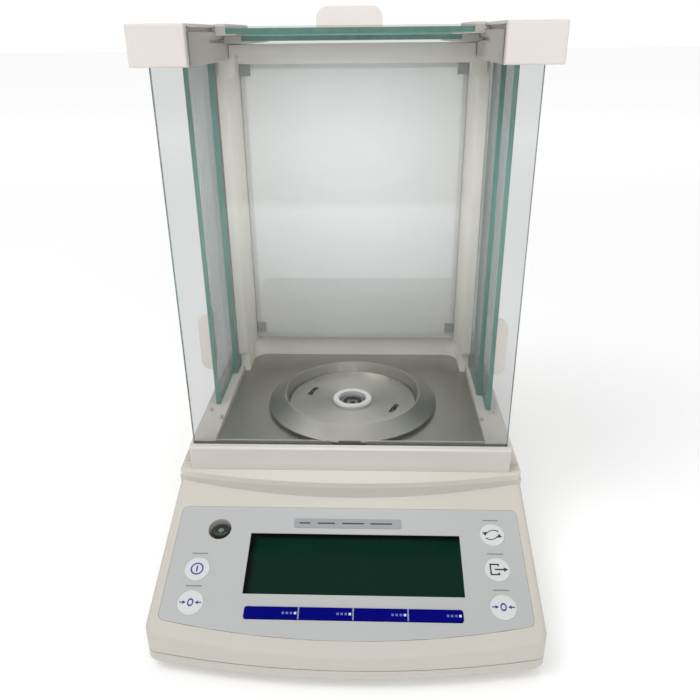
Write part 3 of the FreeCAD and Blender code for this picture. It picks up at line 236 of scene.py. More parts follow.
def machined(name, colour, rough=0.34):
    """Machined metal with faint tool marks."""
    s = Shader(name)
    marks = s.node("ShaderNodeTexWave", {"bands_direction": "DIAGONAL"},
                   {"Vector": s.place, "Scale": 900.0, "Distortion": 1.2, "Detail": 2.0}, output="Fac")
    patches = s.noise(60.0, 3.0)
    tone = s.blend(patches, shade(colour, 0.9), shade(colour, 1.08))
    return s.finish(s.surface(
        Base_Color=tone, Metallic=1.0, Roughness=rough + 0.1 * marks + 0.08 * patches,
        Normal=s.bump(marks, 0.006 * MM)))


def painted_casting(name, colour):
    """Cast metal under a hammered paint."""
    s = Shader(name)
    hammer = s.node("ShaderNodeTexVoronoi", {"feature": "SMOOTH_F1"}, {"Vector": s.place, "Scale": 420.0})
    tone = s.blend(s.noise(30.0), shade(colour, 0.88), shade(colour, 1.1))
    return s.finish(s.surface(
        Base_Color=tone, Roughness=0.4 + 0.15 * hammer, Normal=s.bump(hammer, 0.08 * MM)))


def pane_glass(name, across, clear, haze, edge_green, veil):
    """Float glass: clear faces across one axis, and green polished edges."""
    s = Shader(name)
    normal = s.node("ShaderNodeNewGeometry", output="Normal")
    face = abs(s.split(normal)[across]) > 0.5
    edge = 1.0 - face
    x, y, z = s.split(s.place)
    bands = s.noise(1.0, 2.0, s.join(x * 240, y * 240, z * 14))
    green = s.blend(bands, shade(edge_green, 0.72), shade(edge_green, 1.25))
    smear = s.noise(11.0, 4.0)
    tone = s.blend(edge, veil, green)
    gloss = s.node("ShaderNodeFresnel", inputs={"IOR": 1.5})
    solid = s.surface(Base_Color=tone, Roughness=0.04 + 0.05 * smear + 0.12 * edge, Coat_Weight=0.2)
    through = s.node("ShaderNodeBsdfTransparent", inputs={"Color": clear})
    share = face * (haze * (0.8 + 0.4 * smear) + 0.55 * gloss) + edge * 0.93
    return s.finish(s.node("ShaderNodeMixShader", inputs={0: share, 1: through, 2: solid}))


def printed_film(name, colour, rough=0.33, coat=0.12, shine=0.4):
    """Polyester film, printed on its underside, with a fine matt texture."""
    s = Shader(name)
    weave = s.noise(3400.0, 1.0)
    cloud = s.noise(16.0, 2.0)
    tone = s.blend(cloud, shade(colour, 0.97), shade(colour, 1.025))
    return s.finish(s.surface(
        Base_Color=tone, Roughness=rough + 0.08 * weave, Normal=s.bump(weave, 0.01 * MM),
        Coat_Weight=coat, Coat_Roughness=0.25, Specular_IOR_Level=shine))


def display_lens(name, dark, green, node):
    """Clear window over a display that is off, with painted shadow darkening it under its frame's upper and
    left edges.
    """
    s = Shader(name)
    low, high = (Vector(corner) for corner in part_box(node))
    x, y, _ = s.split(s.place)
    # Painted shadow of the frame: the colour ramps to dark near the upper and left edges.
    from_left = (x - low.x).between(1.5 * MM, 5.0 * MM)
    from_top = (high.y - y).between(2.0 * MM, 4.5 * MM)
    outside_painted_shadow = from_left * from_top
    glow = s.noise(26.0, 1.0)
    tone = s.blend(outside_painted_shadow * (0.75 + 0.25 * glow), dark, green)
    return s.finish(s.surface(
        Base_Color=tone, Roughness=0.05 + 0.03 * glow, Specular_IOR_Level=0.07))


def liquid_vial(name, colour):
    """Tinted liquid in a small clear vial."""
    s = Shader(name)
    tone = s.blend(s.noise(300.0), shade(colour, 0.8), shade(colour, 1.2))
    return s.finish(s.surface(Base_Color=tone, Roughness=0.06 + 0.04 * s.noise(900.0), Coat_Weight=0.5))


def rubber(name, colour):
    """Moulded rubber with a dusty bloom."""
    s = Shader(name)
    bloom = s.noise(90.0, 4.0)
    tone = s.blend(bloom.between(0.45, 0.8), colour, shade(colour, 1.9))
    return s.finish(s.surface(
        Base_Color=tone, Roughness=0.72 + 0.15 * bloom, Normal=s.bump(s.noise(1500.0), 0.06 * MM)))


def circuit_board(name, colour):
    """Solder mask over copper tracks."""
    s = Shader(name)
    tracks = s.node("ShaderNodeTexBrick", inputs={
        "Vector": s.place, "Scale": 260.0, "Mortar Size": 0.012,
        "Color1": (0, 0, 0, 1), "Color2": (0, 0, 0, 1), "Mortar": (1, 1, 1, 1)}, output="Fac")
    tone = s.blend(tracks, colour, shade(colour, 1.8))
    return s.finish(s.surface(
        Base_Color=tone, Roughness=0.3 + 0.1 * s.noise(700.0), Normal=s.bump(tracks, 0.04 * MM)))


def ink(name, colour):
    """Printed ink, a little uneven."""
    s = Shader(name)
    grain = s.noise(2200.0)
    return s.finish(s.surface(
        Base_Color=s.blend(grain, shade(colour, 0.92), shade(colour, 1.08)), Roughness=0.4 + 0.1 * grain))


# ---------------------------------------------------------------- modelling helpers


def deselect():
    """Leave nothing selected."""
    for obj in bpy.context.selected_objects:
        obj.select_set(False)
    bpy.context.view_layer.objects.active = None


def pick(obj):
    """Select one object and make it active."""
    deselect()
    obj.select_set(True)
    bpy.context.view_layer.objects.active = obj


def choose(obj, test, parts="faces"):
    """In edit mode, select only the faces or edges that pass a test."""
    mesh = bmesh.from_edit_mesh(obj.data)
    for group in (mesh.faces, mesh.edges, mesh.verts):
        for item in group:
            item.select_set(False)
    for item in getattr(mesh, parts):
        if test(item):
            item.select_set(True)
    bmesh.update_edit_mesh(obj.data)


def settle(obj, matrix=None):
    """Put an object's place into its mesh, moved by a matrix first."""
    pick(obj)
    if matrix is not None:
        obj.matrix_world = matrix @ obj.matrix_world
    bpy.ops.object.transform_apply(location=True, rotation=True, scale=True)
    return obj


def soften(obj, width, segments=2):
    """Bevel the sharp edges and shade the rest smooth."""
    pick(obj)
    modifier = obj.modifiers.new("soft_edges", "BEVEL")
    modifier.width = width
    modifier.segments = segments
    modifier.limit_method = "ANGLE"
    bpy.ops.object.modifier_apply(modifier=modifier.name)
    bpy.ops.object.shade_smooth_by_angle(angle=math.radians(35))


def join(name, parts):
    """Join objects into one named piece."""
    pick(parts[0])
    for part in parts:
        part.select_set(True)
    if len(parts) > 1:
        bpy.ops.object.join()
    parts[0].name = name
    parts[0].data.name = name
    return parts[0]


def slab(width, length, thick, centre=(0, 0, 0)):
    """Thin rectangular print: a plane, extruded."""
    deselect()
    bpy.ops.mesh.primitive_plane_add(size=1, location=centre)
    obj = bpy.context.object
    obj.scale = (width, length, 1)
    settle(obj)
    raise_faces(obj, thick)
    return obj


def raise_faces(obj, thick):
    """Extrude a flat piece upwards into a closed thin solid."""
    bpy.ops.object.mode_set(mode="EDIT")
    bpy.ops.mesh.select_all(action="SELECT")
    bpy.ops.mesh.extrude_region_move(TRANSFORM_OT_translate={"value": (0, 0, thick)})
    bpy.ops.mesh.select_all(action="SELECT")
    bpy.ops.mesh.normals_make_consistent(inside=False)
    bpy.ops.object.mode_set(mode="OBJECT")


def plate_ring(outer, inner, thick, centre=(0, 0, 0), stretch=(1, 1), sides=48):
    """Flat ring: a filled circle, inset, opened and extruded."""
    deselect()
    bpy.ops.mesh.primitive_circle_add(vertices=sides, radius=outer, fill_type="NGON", location=(0, 0, 0))
    obj = bpy.context.object
    bpy.ops.object.mode_set(mode="EDIT")
    bpy.ops.mesh.select_all(action="SELECT")
    bpy.ops.mesh.inset(thickness=outer - inner)
    bpy.ops.mesh.delete(type="FACE")
    bpy.ops.object.mode_set(mode="OBJECT")
    obj.scale = (stretch[0], stretch[1], 1)
    obj.location = centre
    settle(obj)
    raise_faces(obj, thick)
    return obj


def arrow_head(reach, thick, centre, turn):
    """Flat triangle pointing along a turn from +X."""
    deselect()
    bpy.ops.mesh.primitive_circle_add(vertices=3, radius=reach, fill_type="NGON", location=centre,
                                      rotation=(0, 0, turn - math.pi / 2))
    obj = bpy.context.object
    settle(obj)
    raise_faces(obj, thick)
    return obj


def arc_strip(radius, width, thick, start, sweep, stretch=(1, 1)):
    """Flat curved stroke: a short edge spun about the middle."""
    deselect()
    bpy.ops.mesh.primitive_plane_add(size=width, location=(radius, -width / 2, 0))
    obj = settle(bpy.context.object)
    bpy.ops.object.mode_set(mode="EDIT")
    choose(obj, lambda v: v.co.y < -width / 2, "verts")
    bpy.ops.mesh.delete(type="VERT")
    bpy.ops.mesh.select_all(action="SELECT")
    bpy.ops.mesh.spin(steps=14, angle=-sweep, center=(0, 0, 0), axis=(0, 0, 1))
    bpy.ops.object.mode_set(mode="OBJECT")
    settle(obj, Matrix.Diagonal((*stretch, 1, 1)) @ Matrix.Rotation(start, 4, "Z"))
    raise_faces(obj, thick)
    return obj


def dress(obj, material, body, replaced=()):
    """Give a finished piece its material, its body and what it stands for."""
    obj.data.materials.clear()
    obj.data.materials.append(material)
    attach(obj, body)
    if replaced:
        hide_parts(*replaced)
    return obj


def on_console(obj, x, y, z):
    """Move a piece drawn round the origin to a place on the leaning keypad."""
    return settle(obj, CONSOLE @ Matrix.Translation((x, y, z)))


def key_spot(node):
    """Middle of a key's upper face in the keypad's frame."""
    mesh = frame["nodes"][node].data
    inverse = CONSOLE.inverted()
    points = [inverse @ v.co for v in mesh.vertices]
    spans = [(min(p[i] for p in points), max(p[i] for p in points)) for i in range(3)]
    return Vector(((spans[0][0] + spans[0][1]) / 2, (spans[1][0] + spans[1][1]) / 2, spans[2][1])), spans


def paint(material, *nodes):
    """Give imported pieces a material."""
    for node in nodes:
        slots = frame["nodes"][node].data.materials
        if not slots:
            slots.append(material)
        for index in range(len(slots)):
            slots[index] = material


# ---------------------------------------------------------------- sizes and colours


def colour(name, text, value):
    """A colour that the user can change."""
    return bpy.props.FloatVectorProperty(
        name=name, description=text, default=value, size=4, min=0.0, max=1.0, subtype="COLOR")


def length(name, text, value):
    """A length that the user can change."""
    return bpy.props.FloatProperty(
        name=name, description=text, default=value, min=0.0, subtype="DISTANCE", unit="LENGTH")


class BalanceColours(bpy.types.PropertyGroup):
    """Colours of the balance."""

    case: colour("Case", "Console, walls and deck", (0.565, 0.54, 0.485, 1))
    tray: colour("Tray", "Bar and tracks under the glass", (0.62, 0.59, 0.555, 1))
    shield: colour("Shield frame", "Rails, runners and pulls", (0.745, 0.69, 0.65, 1))
    rear: colour("Rear frame", "Rear posts, header and sill", (0.80, 0.765, 0.71, 1))
    floor: colour("Chamber floor", "Brushed stainless floor", (0.46, 0.45, 0.40, 1))
    ring: colour("Draught ring", "Turned stainless ring and dish", (0.72, 0.70, 0.64, 1))
    edge: colour("Glass edge", "Green of the glass edges", (0.13, 0.33, 0.27, 1))
    film: colour("Keypad film", "Light printed film", (0.45, 0.458, 0.455, 1))
    key: colour("Round keys", "Embossed round keys", (0.62, 0.63, 0.63, 1))
    blue: colour("Function keys", "Blue function keys", (0.0005, 0.001, 0.16, 1))
    display: colour("Display", "Display that is off", (0.0015, 0.022, 0.013, 1))
    blue_ink: colour("Blue ink", "Symbols of the main keys", (0.02, 0.03, 0.25, 1))
    black_ink: colour("Dark ink", "Symbols of the other keys", (0.02, 0.02, 0.025, 1))
    grey_ink: colour("Grey ink", "Caption marks", (0.20, 0.205, 0.22, 1))


class BalanceSizes(bpy.types.PropertyGroup):
    """Sizes of the small details."""

    print_thick: length("Print", "Thickness of the raised print", 0.04 * MM)
    symbol: length("Symbol", "Half the size of a key's symbol", 3.7 * MM)
    stroke: length("Stroke", "Width of a symbol's strokes", 0.85 * MM)
    light_square: length("Light square", "Side of a function key's light square", 1.3 * MM)
    gasket_high: length("Gasket", "Height of the seal at the front pane's foot", 1.2 * MM)
    knurls: bpy.props.IntProperty(
        name="Knurls", description="Ridges round an adjusting wheel", default=36, min=12)


# ---------------------------------------------------------------- operators


class BALANCE_OT_case(bpy.types.Operator):
    """Finish the case, the deck and the shield's frame."""

    bl_idname = "balance.case"
    bl_label = "Case and frame"

    def execute(self, context):
        tones = context.scene.balance_colours
        paint(moulded("case_moulding", tones.case), "upper_case", "lower_case")
        # Painted light: the deck is the case plastic made lighter, standing in for the light on its top.
        paint(moulded("deck_moulding", shade(tones.case, 1.12)), "deck_cover")
        paint(moulded("tray_moulding", tones.tray, gloss=0.4, grain=0.03), "chamber_base")
        paint(moulded("shield_moulding", tones.shield, gloss=0.4, grain=0.03), "left_rail", "right_rail")
        paint(moulded("rear_moulding", tones.rear, gloss=0.42, grain=0.03), "rear_frame")
        # Painted light: the sill is the rear frame's plastic made lighter, to brighten it where it sits in
        # shade.
        paint(moulded("sill_moulding", shade(tones.rear, 1.2), gloss=0.42, grain=0.03), "rear_sill")
        paint(moulded("door_moulding", shade(tones.shield, 1.03), gloss=0.38, grain=0.02),
              "left_outer_door_hanger", "left_inner_door_hanger", "right_outer_door_hanger",
              "right_inner_door_hanger", "top_upper_door_runners", "top_lower_door_runners")
        # Painted light: the pulls are the shield plastic made lighter, to brighten their front faces where
        # light falls weakly.
        paint(moulded("pull_moulding", shade(tones.shield, 1.3), gloss=0.38, grain=0.02),
              "left_outer_door_pull", "right_outer_door_pull", "top_upper_door_pull")
        paint(moulded("clip_moulding", (0.30, 0.31, 0.30, 1), gloss=0.3), "pane_clips")
        return {"FINISHED"}


class BALANCE_OT_glass(bpy.types.Operator):
    """Finish the fixed and the sliding panes."""

    bl_idname = "balance.glass"
    bl_label = "Glass panes"

    def execute(self, context):
        edge = context.scene.balance_colours.edge
        clear, smoky, veil = (0.96, 0.97, 0.965, 1), (0.86, 0.865, 0.865, 1), (0.42, 0.45, 0.45, 1)
        pale_edge, frosting = (0.60, 0.61, 0.59, 1), (0.86, 0.86, 0.85, 1)
        paint(pane_glass("front_glass", 1, smoky, 0.02, edge, veil), "front_pane")
        paint(pane_glass("rear_glass", 1, clear, 0.5, pale_edge, frosting), "rear_pane")
        paint(pane_glass("side_glass", 0, clear, 0.08, edge, veil), "left_outer_door_pane",
              "left_inner_door_pane", "right_outer_door_pane", "right_inner_door_pane")
        paint(pane_glass("roof_glass", 2, clear, 0.05, edge, (0.25, 0.42, 0.36, 1)),
              "top_upper_door_pane", "top_lower_door_pane")
        return {"FINISHED"}


class BALANCE_OT_weighing(bpy.types.Operator):
    """Finish the chamber floor and all that carries the pan."""

    bl_idname = "balance.weighing"
    bl_label = "Weighing station"

    def execute(self, context):
        tones = context.scene.balance_colours
        paint(straight_brushed("floor_steel", tones.floor), "floor_plate")
        paint(round_brushed("ring_steel", tones.ring, middle("draught_ring")), "draught_ring")
        # Painted light: the dish is the ring's steel made lighter, to brighten it where little light falls.
        paint(round_brushed("dish_steel", shade(tones.ring, 1.1), middle("shield_dish"), rough=0.32),
              "shield_dish")
        paint(moulded("collar_moulding", (0.84, 0.84, 0.82, 1), gloss=0.35, grain=0.02), "pan_collar")
        paint(machined("seat_metal", (0.42, 0.42, 0.41, 1)), "pan_seat")
        paint(moulded("pin_moulding", (0.02, 0.02, 0.02, 1), gloss=0.3), "dish_pins")
        return {"FINISHED"}


class BALANCE_OT_inside(bpy.types.Operator):
    """Finish the weigh cell and the boards inside the case."""

    bl_idname = "balance.inside"
    bl_label = "Inside"

    def execute(self, context):
        paint(machined("cell_metal", (0.66, 0.67, 0.68, 1)), "weigh_cell")
        paint(machined("sensor_metal", (0.5, 0.5, 0.52, 1), rough=0.22), "fork_sensor")
        paint(painted_casting("cell_base_paint", (0.11, 0.12, 0.13, 1)), "cell_base")
        paint(circuit_board("board_mask", (0.01, 0.07, 0.025, 1)), "main_board", "display_board")
        paint(moulded("module_moulding", (0.02, 0.02, 0.02, 1)), "display_module")
        return {"FINISHED"}


class BALANCE_OT_keypad(bpy.types.Operator):
    """Finish the keypad's film, window, keys and level."""

    bl_idname = "balance.keypad"
    bl_label = "Keypad"

    def execute(self, context):
        tones = context.scene.balance_colours
        paint(printed_film("keypad_film", tones.film), "keypad_sheet")
        paint(printed_film("key_film", tones.key, rough=0.28), *[f"key_{key}" for key in ROUND_KEYS])
        paint(printed_film("blue_film", tones.blue, rough=0.2, coat=0.0, shine=0.03),
              *[f"key_function_{i}" for i in range(1, 5)])
        paint(printed_film("plate_film", (0.30, 0.315, 0.335, 1)), "rating_plate")
        # The first colour is the painted shadow under the window's frame.
        paint(display_lens("display_window", (0.0008, 0.0015, 0.0015, 1), tones.display, "display_window"),
              "display_window")
        paint(liquid_vial("vial_liquid", (0.02, 0.035, 0.03, 1)), "level_vial")
        return {"FINISHED"}


class BALANCE_OT_symbols(bpy.types.Operator):
    """Print the keys' symbols, the caption marks and the light squares."""

    bl_idname = "balance.symbols"
    bl_label = "Printed symbols"

    def execute(self, context):
        tones, sizes = context.scene.balance_colours, context.scene.balance_sizes
        self.thick, self.half, self.stroke = sizes.print_thick, sizes.symbol, sizes.stroke
        inks = {"blue": ink("blue_ink", tones.blue_ink), "black": ink("black_ink", tones.black_ink)}
        drawn = {
            "power": (self.power, "blue"),
            "zero_left": (self.zero, "blue"), "zero_right": (self.zero, "blue"),
            "menu": (self.cycle, "black"), "output": (self.leave, "black"),
        }
        for key, (draw, tone) in drawn.items():
            spot, _ = key_spot(f"key_{key}")
            symbol = join(f"symbol_{key}", draw())
            on_console(symbol, spot.x, spot.y, spot.z)
            dress(symbol, inks[tone], f"key_{key}_cap")
        self.captions(ink("grey_ink", tones.grey_ink), inks["black"])
        self.skirts(printed_film("skirt_film", tones.film))
        lit, dim = ink("light_ink", (0.62, 0.66, 0.80, 1)), ink("dim_ink", (0.10, 0.12, 0.40, 1))
        self.lights(lit, dim, sizes.light_square)
        return {"FINISHED"}

    def power(self):
        """Ring with an upright stroke."""
        return [plate_ring(self.half, self.half - self.stroke, self.thick),
                slab(self.stroke, self.half, self.thick)]

    def zero(self):
        """Nought between two arrows that point at it."""
        radius = self.half * 0.55
        parts = [plate_ring(radius, radius - self.stroke, self.thick, stretch=(0.85, 1.15))]
        for side in (-1, 1):
            at = side * self.half * 1.35
            parts.append(slab(self.half * 0.6, self.stroke * 0.8, self.thick, (at, 0, 0)))
            parts.append(arrow_head(self.stroke * 1.5, self.thick, (at - side * self.half * 0.35, 0, 0),
                                    math.pi if side == 1 else 0))
        return parts

    def cycle(self):
        """Two curved arrows that follow each other round."""
        parts, reach, flat = [], self.half * 1.2, 0.5
        for turn in (0, math.pi):
            start, sweep = math.radians(25) + turn, math.radians(125)
            parts.append(arc_strip(reach, self.stroke, self.thick, start, sweep, stretch=(1, flat)))
            end = start + sweep + math.radians(8)
            tip = (reach * math.cos(end), reach * flat * math.sin(end), 0)
            parts.append(arrow_head(self.stroke * 2, self.thick, tip, end + math.radians(120)))
        return parts

    def leave(self):
        """Box open at its right side, with an arrow leaving it."""
        left, half = -self.half, self.half * 0.95
        parts = [slab(self.stroke, 2 * half, self.thick, (left, 0, 0))]
        for side in (-1, 1):
            parts.append(slab(half * 1.5, self.stroke, self.thick,
                              (left + half * 0.75 - self.stroke / 2, side * (half - self.stroke / 2), 0)))
            parts.append(slab(self.stroke, half * 0.42, self.thick,
                              (left + half * 1.5 - self.stroke, side * half * 0.76, 0)))
        parts.append(slab(self.half * 1.5, self.stroke, self.thick, (self.half * 0.35, 0, 0)))
        parts.append(arrow_head(self.stroke * 1.9, self.thick, (self.half * 1.2, 0, 0), 0))
        return parts

    def captions(self, material, dark):
        """Plain marks where captions would stand: above each round key and on the rating plate."""
        marks, above = [], 9.8 * MM
        for key in ROUND_KEYS:
            spot, _ = key_spot(f"key_{key}")
            mark = slab(9.0 * MM, 0.8 * MM, self.thick)
            marks.append(on_console(mark, spot.x, spot.y + above, 0))
        dress(join("caption_marks", marks), material, "balance")
        spot, spans = key_spot("rating_plate")
        marks, wide = [], spans[0][1] - spans[0][0]
        for share, at in ((0.10, -0.40), (0.16, -0.20), (0.2, 0.05), (0.2, 0.31)):
            mark = slab(share * wide, 0.9 * MM, self.thick)
            marks.append(on_console(mark, spot.x + at * wide, spot.y, spot.z))
        dress(join("rating_marks", marks), dark, "balance")

    def skirts(self, material):
        """Film that closes the gap round each round key, flush with the keypad."""
        rings = []
        for key in ROUND_KEYS:
            spot, spans = key_spot(f"key_{key}")
            radius = (spans[0][1] - spans[0][0]) / 2
            ring = plate_ring(radius + 0.8 * MM, radius + 0.05 * MM, 0.03 * MM, sides=64)
            rings.append(on_console(ring, spot.x, spot.y, 0))
        dress(join("key_skirts", rings), material, "balance")

    def lights(self, lit, dim, side):
        """Each function key's four squares, of which the last is the brightest, and its light edges."""
        for i in range(1, 5):
            spot, spans = key_spot(f"key_function_{i}")
            left, right = spans[0]
            squares, first, pitch = [], 8.1 * MM, 2.2 * MM
            for step in range(4):
                at = right - first + pitch * step
                squares.append(on_console(slab(side, side, self.thick), at, spot.y, spot.z))
            long = spans[1][1] - spans[1][0]
            edges = [on_console(slab(0.15 * MM, long, self.thick), at, spot.y, spot.z)
                     for at, wanted in ((left + 0.1 * MM, i > 1), (right - 0.1 * MM, i < 4)) if wanted]
            dress(join(f"function_marks_{i}", [squares.pop()] + edges), lit, f"key_function_{i}_cap")
            dress(join(f"function_dim_marks_{i}", squares), dim, f"key_function_{i}_cap")


class BALANCE_OT_gasket(bpy.types.Operator):
    """Fit the seal behind the front pane's foot."""

    bl_idname = "balance.gasket"
    bl_label = "Front pane seal"

    def execute(self, context):
        high = context.scene.balance_sizes.gasket_high
        notch, thick, door_room, peg_high = 11.4 * MM, 0.7 * MM, 3.0 * MM, 3.0 * MM
        pane_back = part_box("front_pane")[1][1]
        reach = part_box("right_inner_door_pane")[0][0] - door_room
        bar_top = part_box("chamber_base")[1][2] - peg_high
        rubber_light = moulded("seal_moulding", (0.80, 0.79, 0.76, 1), gloss=0.5)
        parts = []
        for side in (-1, 1):
            deselect()
            bpy.ops.mesh.primitive_cube_add(
                size=1, location=(side * (notch + reach) / 2, pane_back + 0.55 * MM, bar_top + high / 2),
                scale=(reach - notch, thick, high))
            bead = settle(bpy.context.object)
            soften(bead, 0.25 * MM)
            parts.append(bead)
        dress(join("front_pane_seal", parts), rubber_light, "balance")
        return {"FINISHED"}


class BALANCE_OT_roof_seal(bpy.types.Operator):
    """Fit the clear seal between the two roof panes, under the upper pane's front edge."""

    bl_idname = "balance.roof_seal"
    bl_label = "Roof seal"

    def execute(self, context):
        edge = context.scene.balance_colours.edge
        upper_low, _ = (Vector(corner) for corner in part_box("top_upper_door_pane"))
        lower_low, lower_high = (Vector(corner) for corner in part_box("top_lower_door_pane"))
        across = middle("top_upper_door_pane").x
        high = upper_low.z - lower_high.z - 0.2 * MM
        deselect()
        bpy.ops.mesh.primitive_cube_add(
            size=1, location=(across, upper_low.y + 0.8 * MM, upper_low.z - high / 2),
            scale=(lower_high.x - lower_low.x - 16 * MM, 1.2 * MM, high))
        seal = settle(bpy.context.object)
        soften(seal, 0.2 * MM)
        seal.name = "roof_door_seal"
        dress(seal, moulded("seal_silicone", shade(edge, 1.5), gloss=0.25, grain=0.01), "top_upper_door")
        return {"FINISHED"}


class BALANCE_OT_feet(bpy.types.Operator):
    """Model the knurled adjusting wheels, and finish the rubber feet and the case screws."""

    bl_idname = "balance.feet"
    bl_label = "Feet"

    def execute(self, context):
        knurls = context.scene.balance_sizes.knurls
        paint(rubber("foot_rubber", (0.02, 0.02, 0.02, 1)), "left_foot_pad", "right_foot_pad", "rear_feet")
        paint(machined("screw_metal", (0.5, 0.5, 0.5, 1)), "case_screws")
        wheel_tone = moulded("wheel_moulding", (0.075, 0.075, 0.08, 1), gloss=0.5)
        for side, _ in SIDES:
            node = f"{side}_foot_screw"
            low, high = (Vector(corner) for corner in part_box(node))
            centre, radius = middle(node), (high.x - low.x) / 2
            wheel_high, ridge, stem_radius = 4.6 * MM, 0.7 * MM, 3.0 * MM
            deselect()
            bpy.ops.mesh.primitive_cylinder_add(
                vertices=2 * knurls, radius=radius - ridge, depth=wheel_high,
                location=(centre.x, centre.y, low.z + wheel_high / 2))
            wheel = settle(bpy.context.object)
            self.knurl(wheel, centre, ridge)
            deselect()
            bpy.ops.mesh.primitive_cylinder_add(
                vertices=32, radius=stem_radius, depth=high.z - low.z - wheel_high,
                location=(centre.x, centre.y, (low.z + wheel_high + high.z) / 2))
            stem = settle(bpy.context.object)
            self.thread(stem, centre)
            dress(join(f"{side}_adjusting_wheel", [wheel, stem]), wheel_tone, f"{side}_front_foot",
                  replaced=[node])
        return {"FINISHED"}

    def knurl(self, wheel, centre, ridge):
        """Push out every other face round the rim, and soften the edges."""
        def bearing(face):
            middle_point = face.calc_center_median()
            return math.atan2(middle_point.y - centre.y, middle_point.x - centre.x)

        pick(wheel)
        bpy.ops.object.mode_set(mode="EDIT")
        rim = [f for f in bmesh.from_edit_mesh(wheel.data).faces if abs(f.normal.z) < 0.5]
        chosen = {f.index for f in sorted(rim, key=bearing)[::2]}
        choose(wheel, lambda f: f.index in chosen)
        bpy.ops.mesh.extrude_faces_move(TRANSFORM_OT_shrink_fatten={"value": ridge})
        bpy.ops.object.mode_set(mode="OBJECT")
        soften(wheel, 0.15 * MM, 1)

    def thread(self, stem, centre):
        """Cut the screw into turns and draw in every other one."""
        pick(stem)
        bpy.ops.object.mode_set(mode="EDIT")
        low = min(v.co.z for v in stem.data.vertices)
        high = max(v.co.z for v in stem.data.vertices)
        turns = 24
        for i in range(1, turns):
            level = low + (high - low) * i / turns
            bpy.ops.mesh.select_all(action="SELECT")
            bpy.ops.mesh.bisect(plane_co=(centre.x, centre.y, level), plane_no=(0, 0, 1))
        choose(stem, lambda v: round((v.co.z - low) / (high - low) * turns) % 2 == 1, "verts")
        bpy.ops.transform.resize(value=(0.86, 0.86, 1), center_override=centre)
        bpy.ops.object.mode_set(mode="OBJECT")
        bpy.ops.object.shade_smooth_by_angle(angle=math.radians(20))


class BALANCE_OT_back(bpy.types.Operator):
    """Finish the connector panel and fit the port's two jack nuts and a blank label."""

    bl_idname = "balance.back"
    bl_label = "Back panel"

    def execute(self, context):
        paint(moulded("panel_moulding", (0.045, 0.045, 0.05, 1)), "back_panel")
        paint(moulded("socket_moulding", (0.012, 0.012, 0.012, 1), gloss=0.35), "power_inlet")
        metal = machined("port_metal", (0.56, 0.56, 0.57, 1))
        paint(metal, "serial_port")
        low, high = (Vector(c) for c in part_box("serial_port"))
        self.label(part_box("back_panel")[1][1] - 6.0 * MM, low, high)
        nuts = []
        for side in (-1, 1):
            deselect()
            bpy.ops.mesh.primitive_cylinder_add(
                vertices=6, radius=2.4 * MM, depth=3.0 * MM, rotation=(math.pi / 2, 0, 0),
                location=((low.x + high.x) / 2 + side * 12.5 * MM, high.y - 3.0 * MM, (low.z + high.z) / 2))
            nut = settle(bpy.context.object)
            bpy.ops.object.mode_set(mode="EDIT")
            choose(nut, lambda f: f.normal.y > 0.9)
            bpy.ops.mesh.inset(thickness=1.1 * MM)
            bpy.ops.mesh.extrude_region_move(TRANSFORM_OT_translate={"value": (0, -2.0 * MM, 0)})
            bpy.ops.object.mode_set(mode="OBJECT")
            soften(nut, 0.2 * MM)
            nuts.append(nut)
        dress(join("port_jack_nuts", nuts), metal, "balance")
        return {"FINISHED"}

    def label(self, face, low, high):
        """Blank label with plain lines beside the port."""
        thick, longest = 0.12 * MM, 20.0 * MM
        sheet = slab(24.0 * MM, 13.0 * MM, thick)
        lines = []
        for share, row in ((1.0, 1.4), (0.7, 0.4), (0.85, -0.6), (0.5, -1.6)):
            place = ((share - 1) * longest / 2, row * 2.6 * MM, thick)
            lines.append(slab(share * longest, 0.9 * MM, 0.04 * MM, place))
        upright = Matrix.Translation((low.x - 16.0 * MM, face, (low.z + high.z) / 2))
        upright = upright @ Matrix.Rotation(math.pi, 4, "Z") @ Matrix.Rotation(math.pi / 2, 4, "X")
        film = printed_film("label_film", (0.62, 0.62, 0.60, 1))
        black = ink("label_ink", (0.08, 0.08, 0.09, 1))
        dress(settle(join("back_label", [sheet]), upright), film, "balance")
        dress(settle(join("back_label_lines", lines), upright), black, "balance")


class BALANCE_OT_level(bpy.types.Operator):
    """Put the circle and the bubble in the level."""

    bl_idname = "balance.level"
    bl_label = "Level"

    def execute(self, context):
        low, high = (Vector(c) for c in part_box("level_vial"))
        centre = ((low.x + high.x) / 2, (low.y + high.y) / 2, high.z)
        mark = plate_ring(2.7 * MM, 2.35 * MM, 0.03 * MM, centre)
        dress(join("level_circle", [mark]), ink("level_ink", (0.01, 0.01, 0.01, 1)), "balance")
        deselect()
        bpy.ops.mesh.primitive_uv_sphere_add(segments=32, ring_count=16, radius=1.7 * MM, location=centre)
        bubble = bpy.context.object
        bubble.scale = (1, 1, 0.12)
        settle(bubble)
        bpy.ops.object.mode_set(mode="EDIT")
        choose(bubble, lambda v: v.co.z < high.z - 0.01 * MM, "verts")
        bpy.ops.mesh.delete(type="VERT")
        bpy.ops.mesh.select_all(action="SELECT")
        bpy.ops.mesh.edge_face_add()
        bpy.ops.mesh.select_all(action="SELECT")
        bpy.ops.mesh.normals_make_consistent(inside=False)
        bpy.ops.object.mode_set(mode="OBJECT")
        bpy.ops.object.shade_smooth_by_angle(angle=math.radians(35))
        bubble.name = "level_bubble"
        dress(bubble, liquid_vial("bubble_air", (0.16, 0.22, 0.19, 1)), "balance")
        return {"FINISHED"}


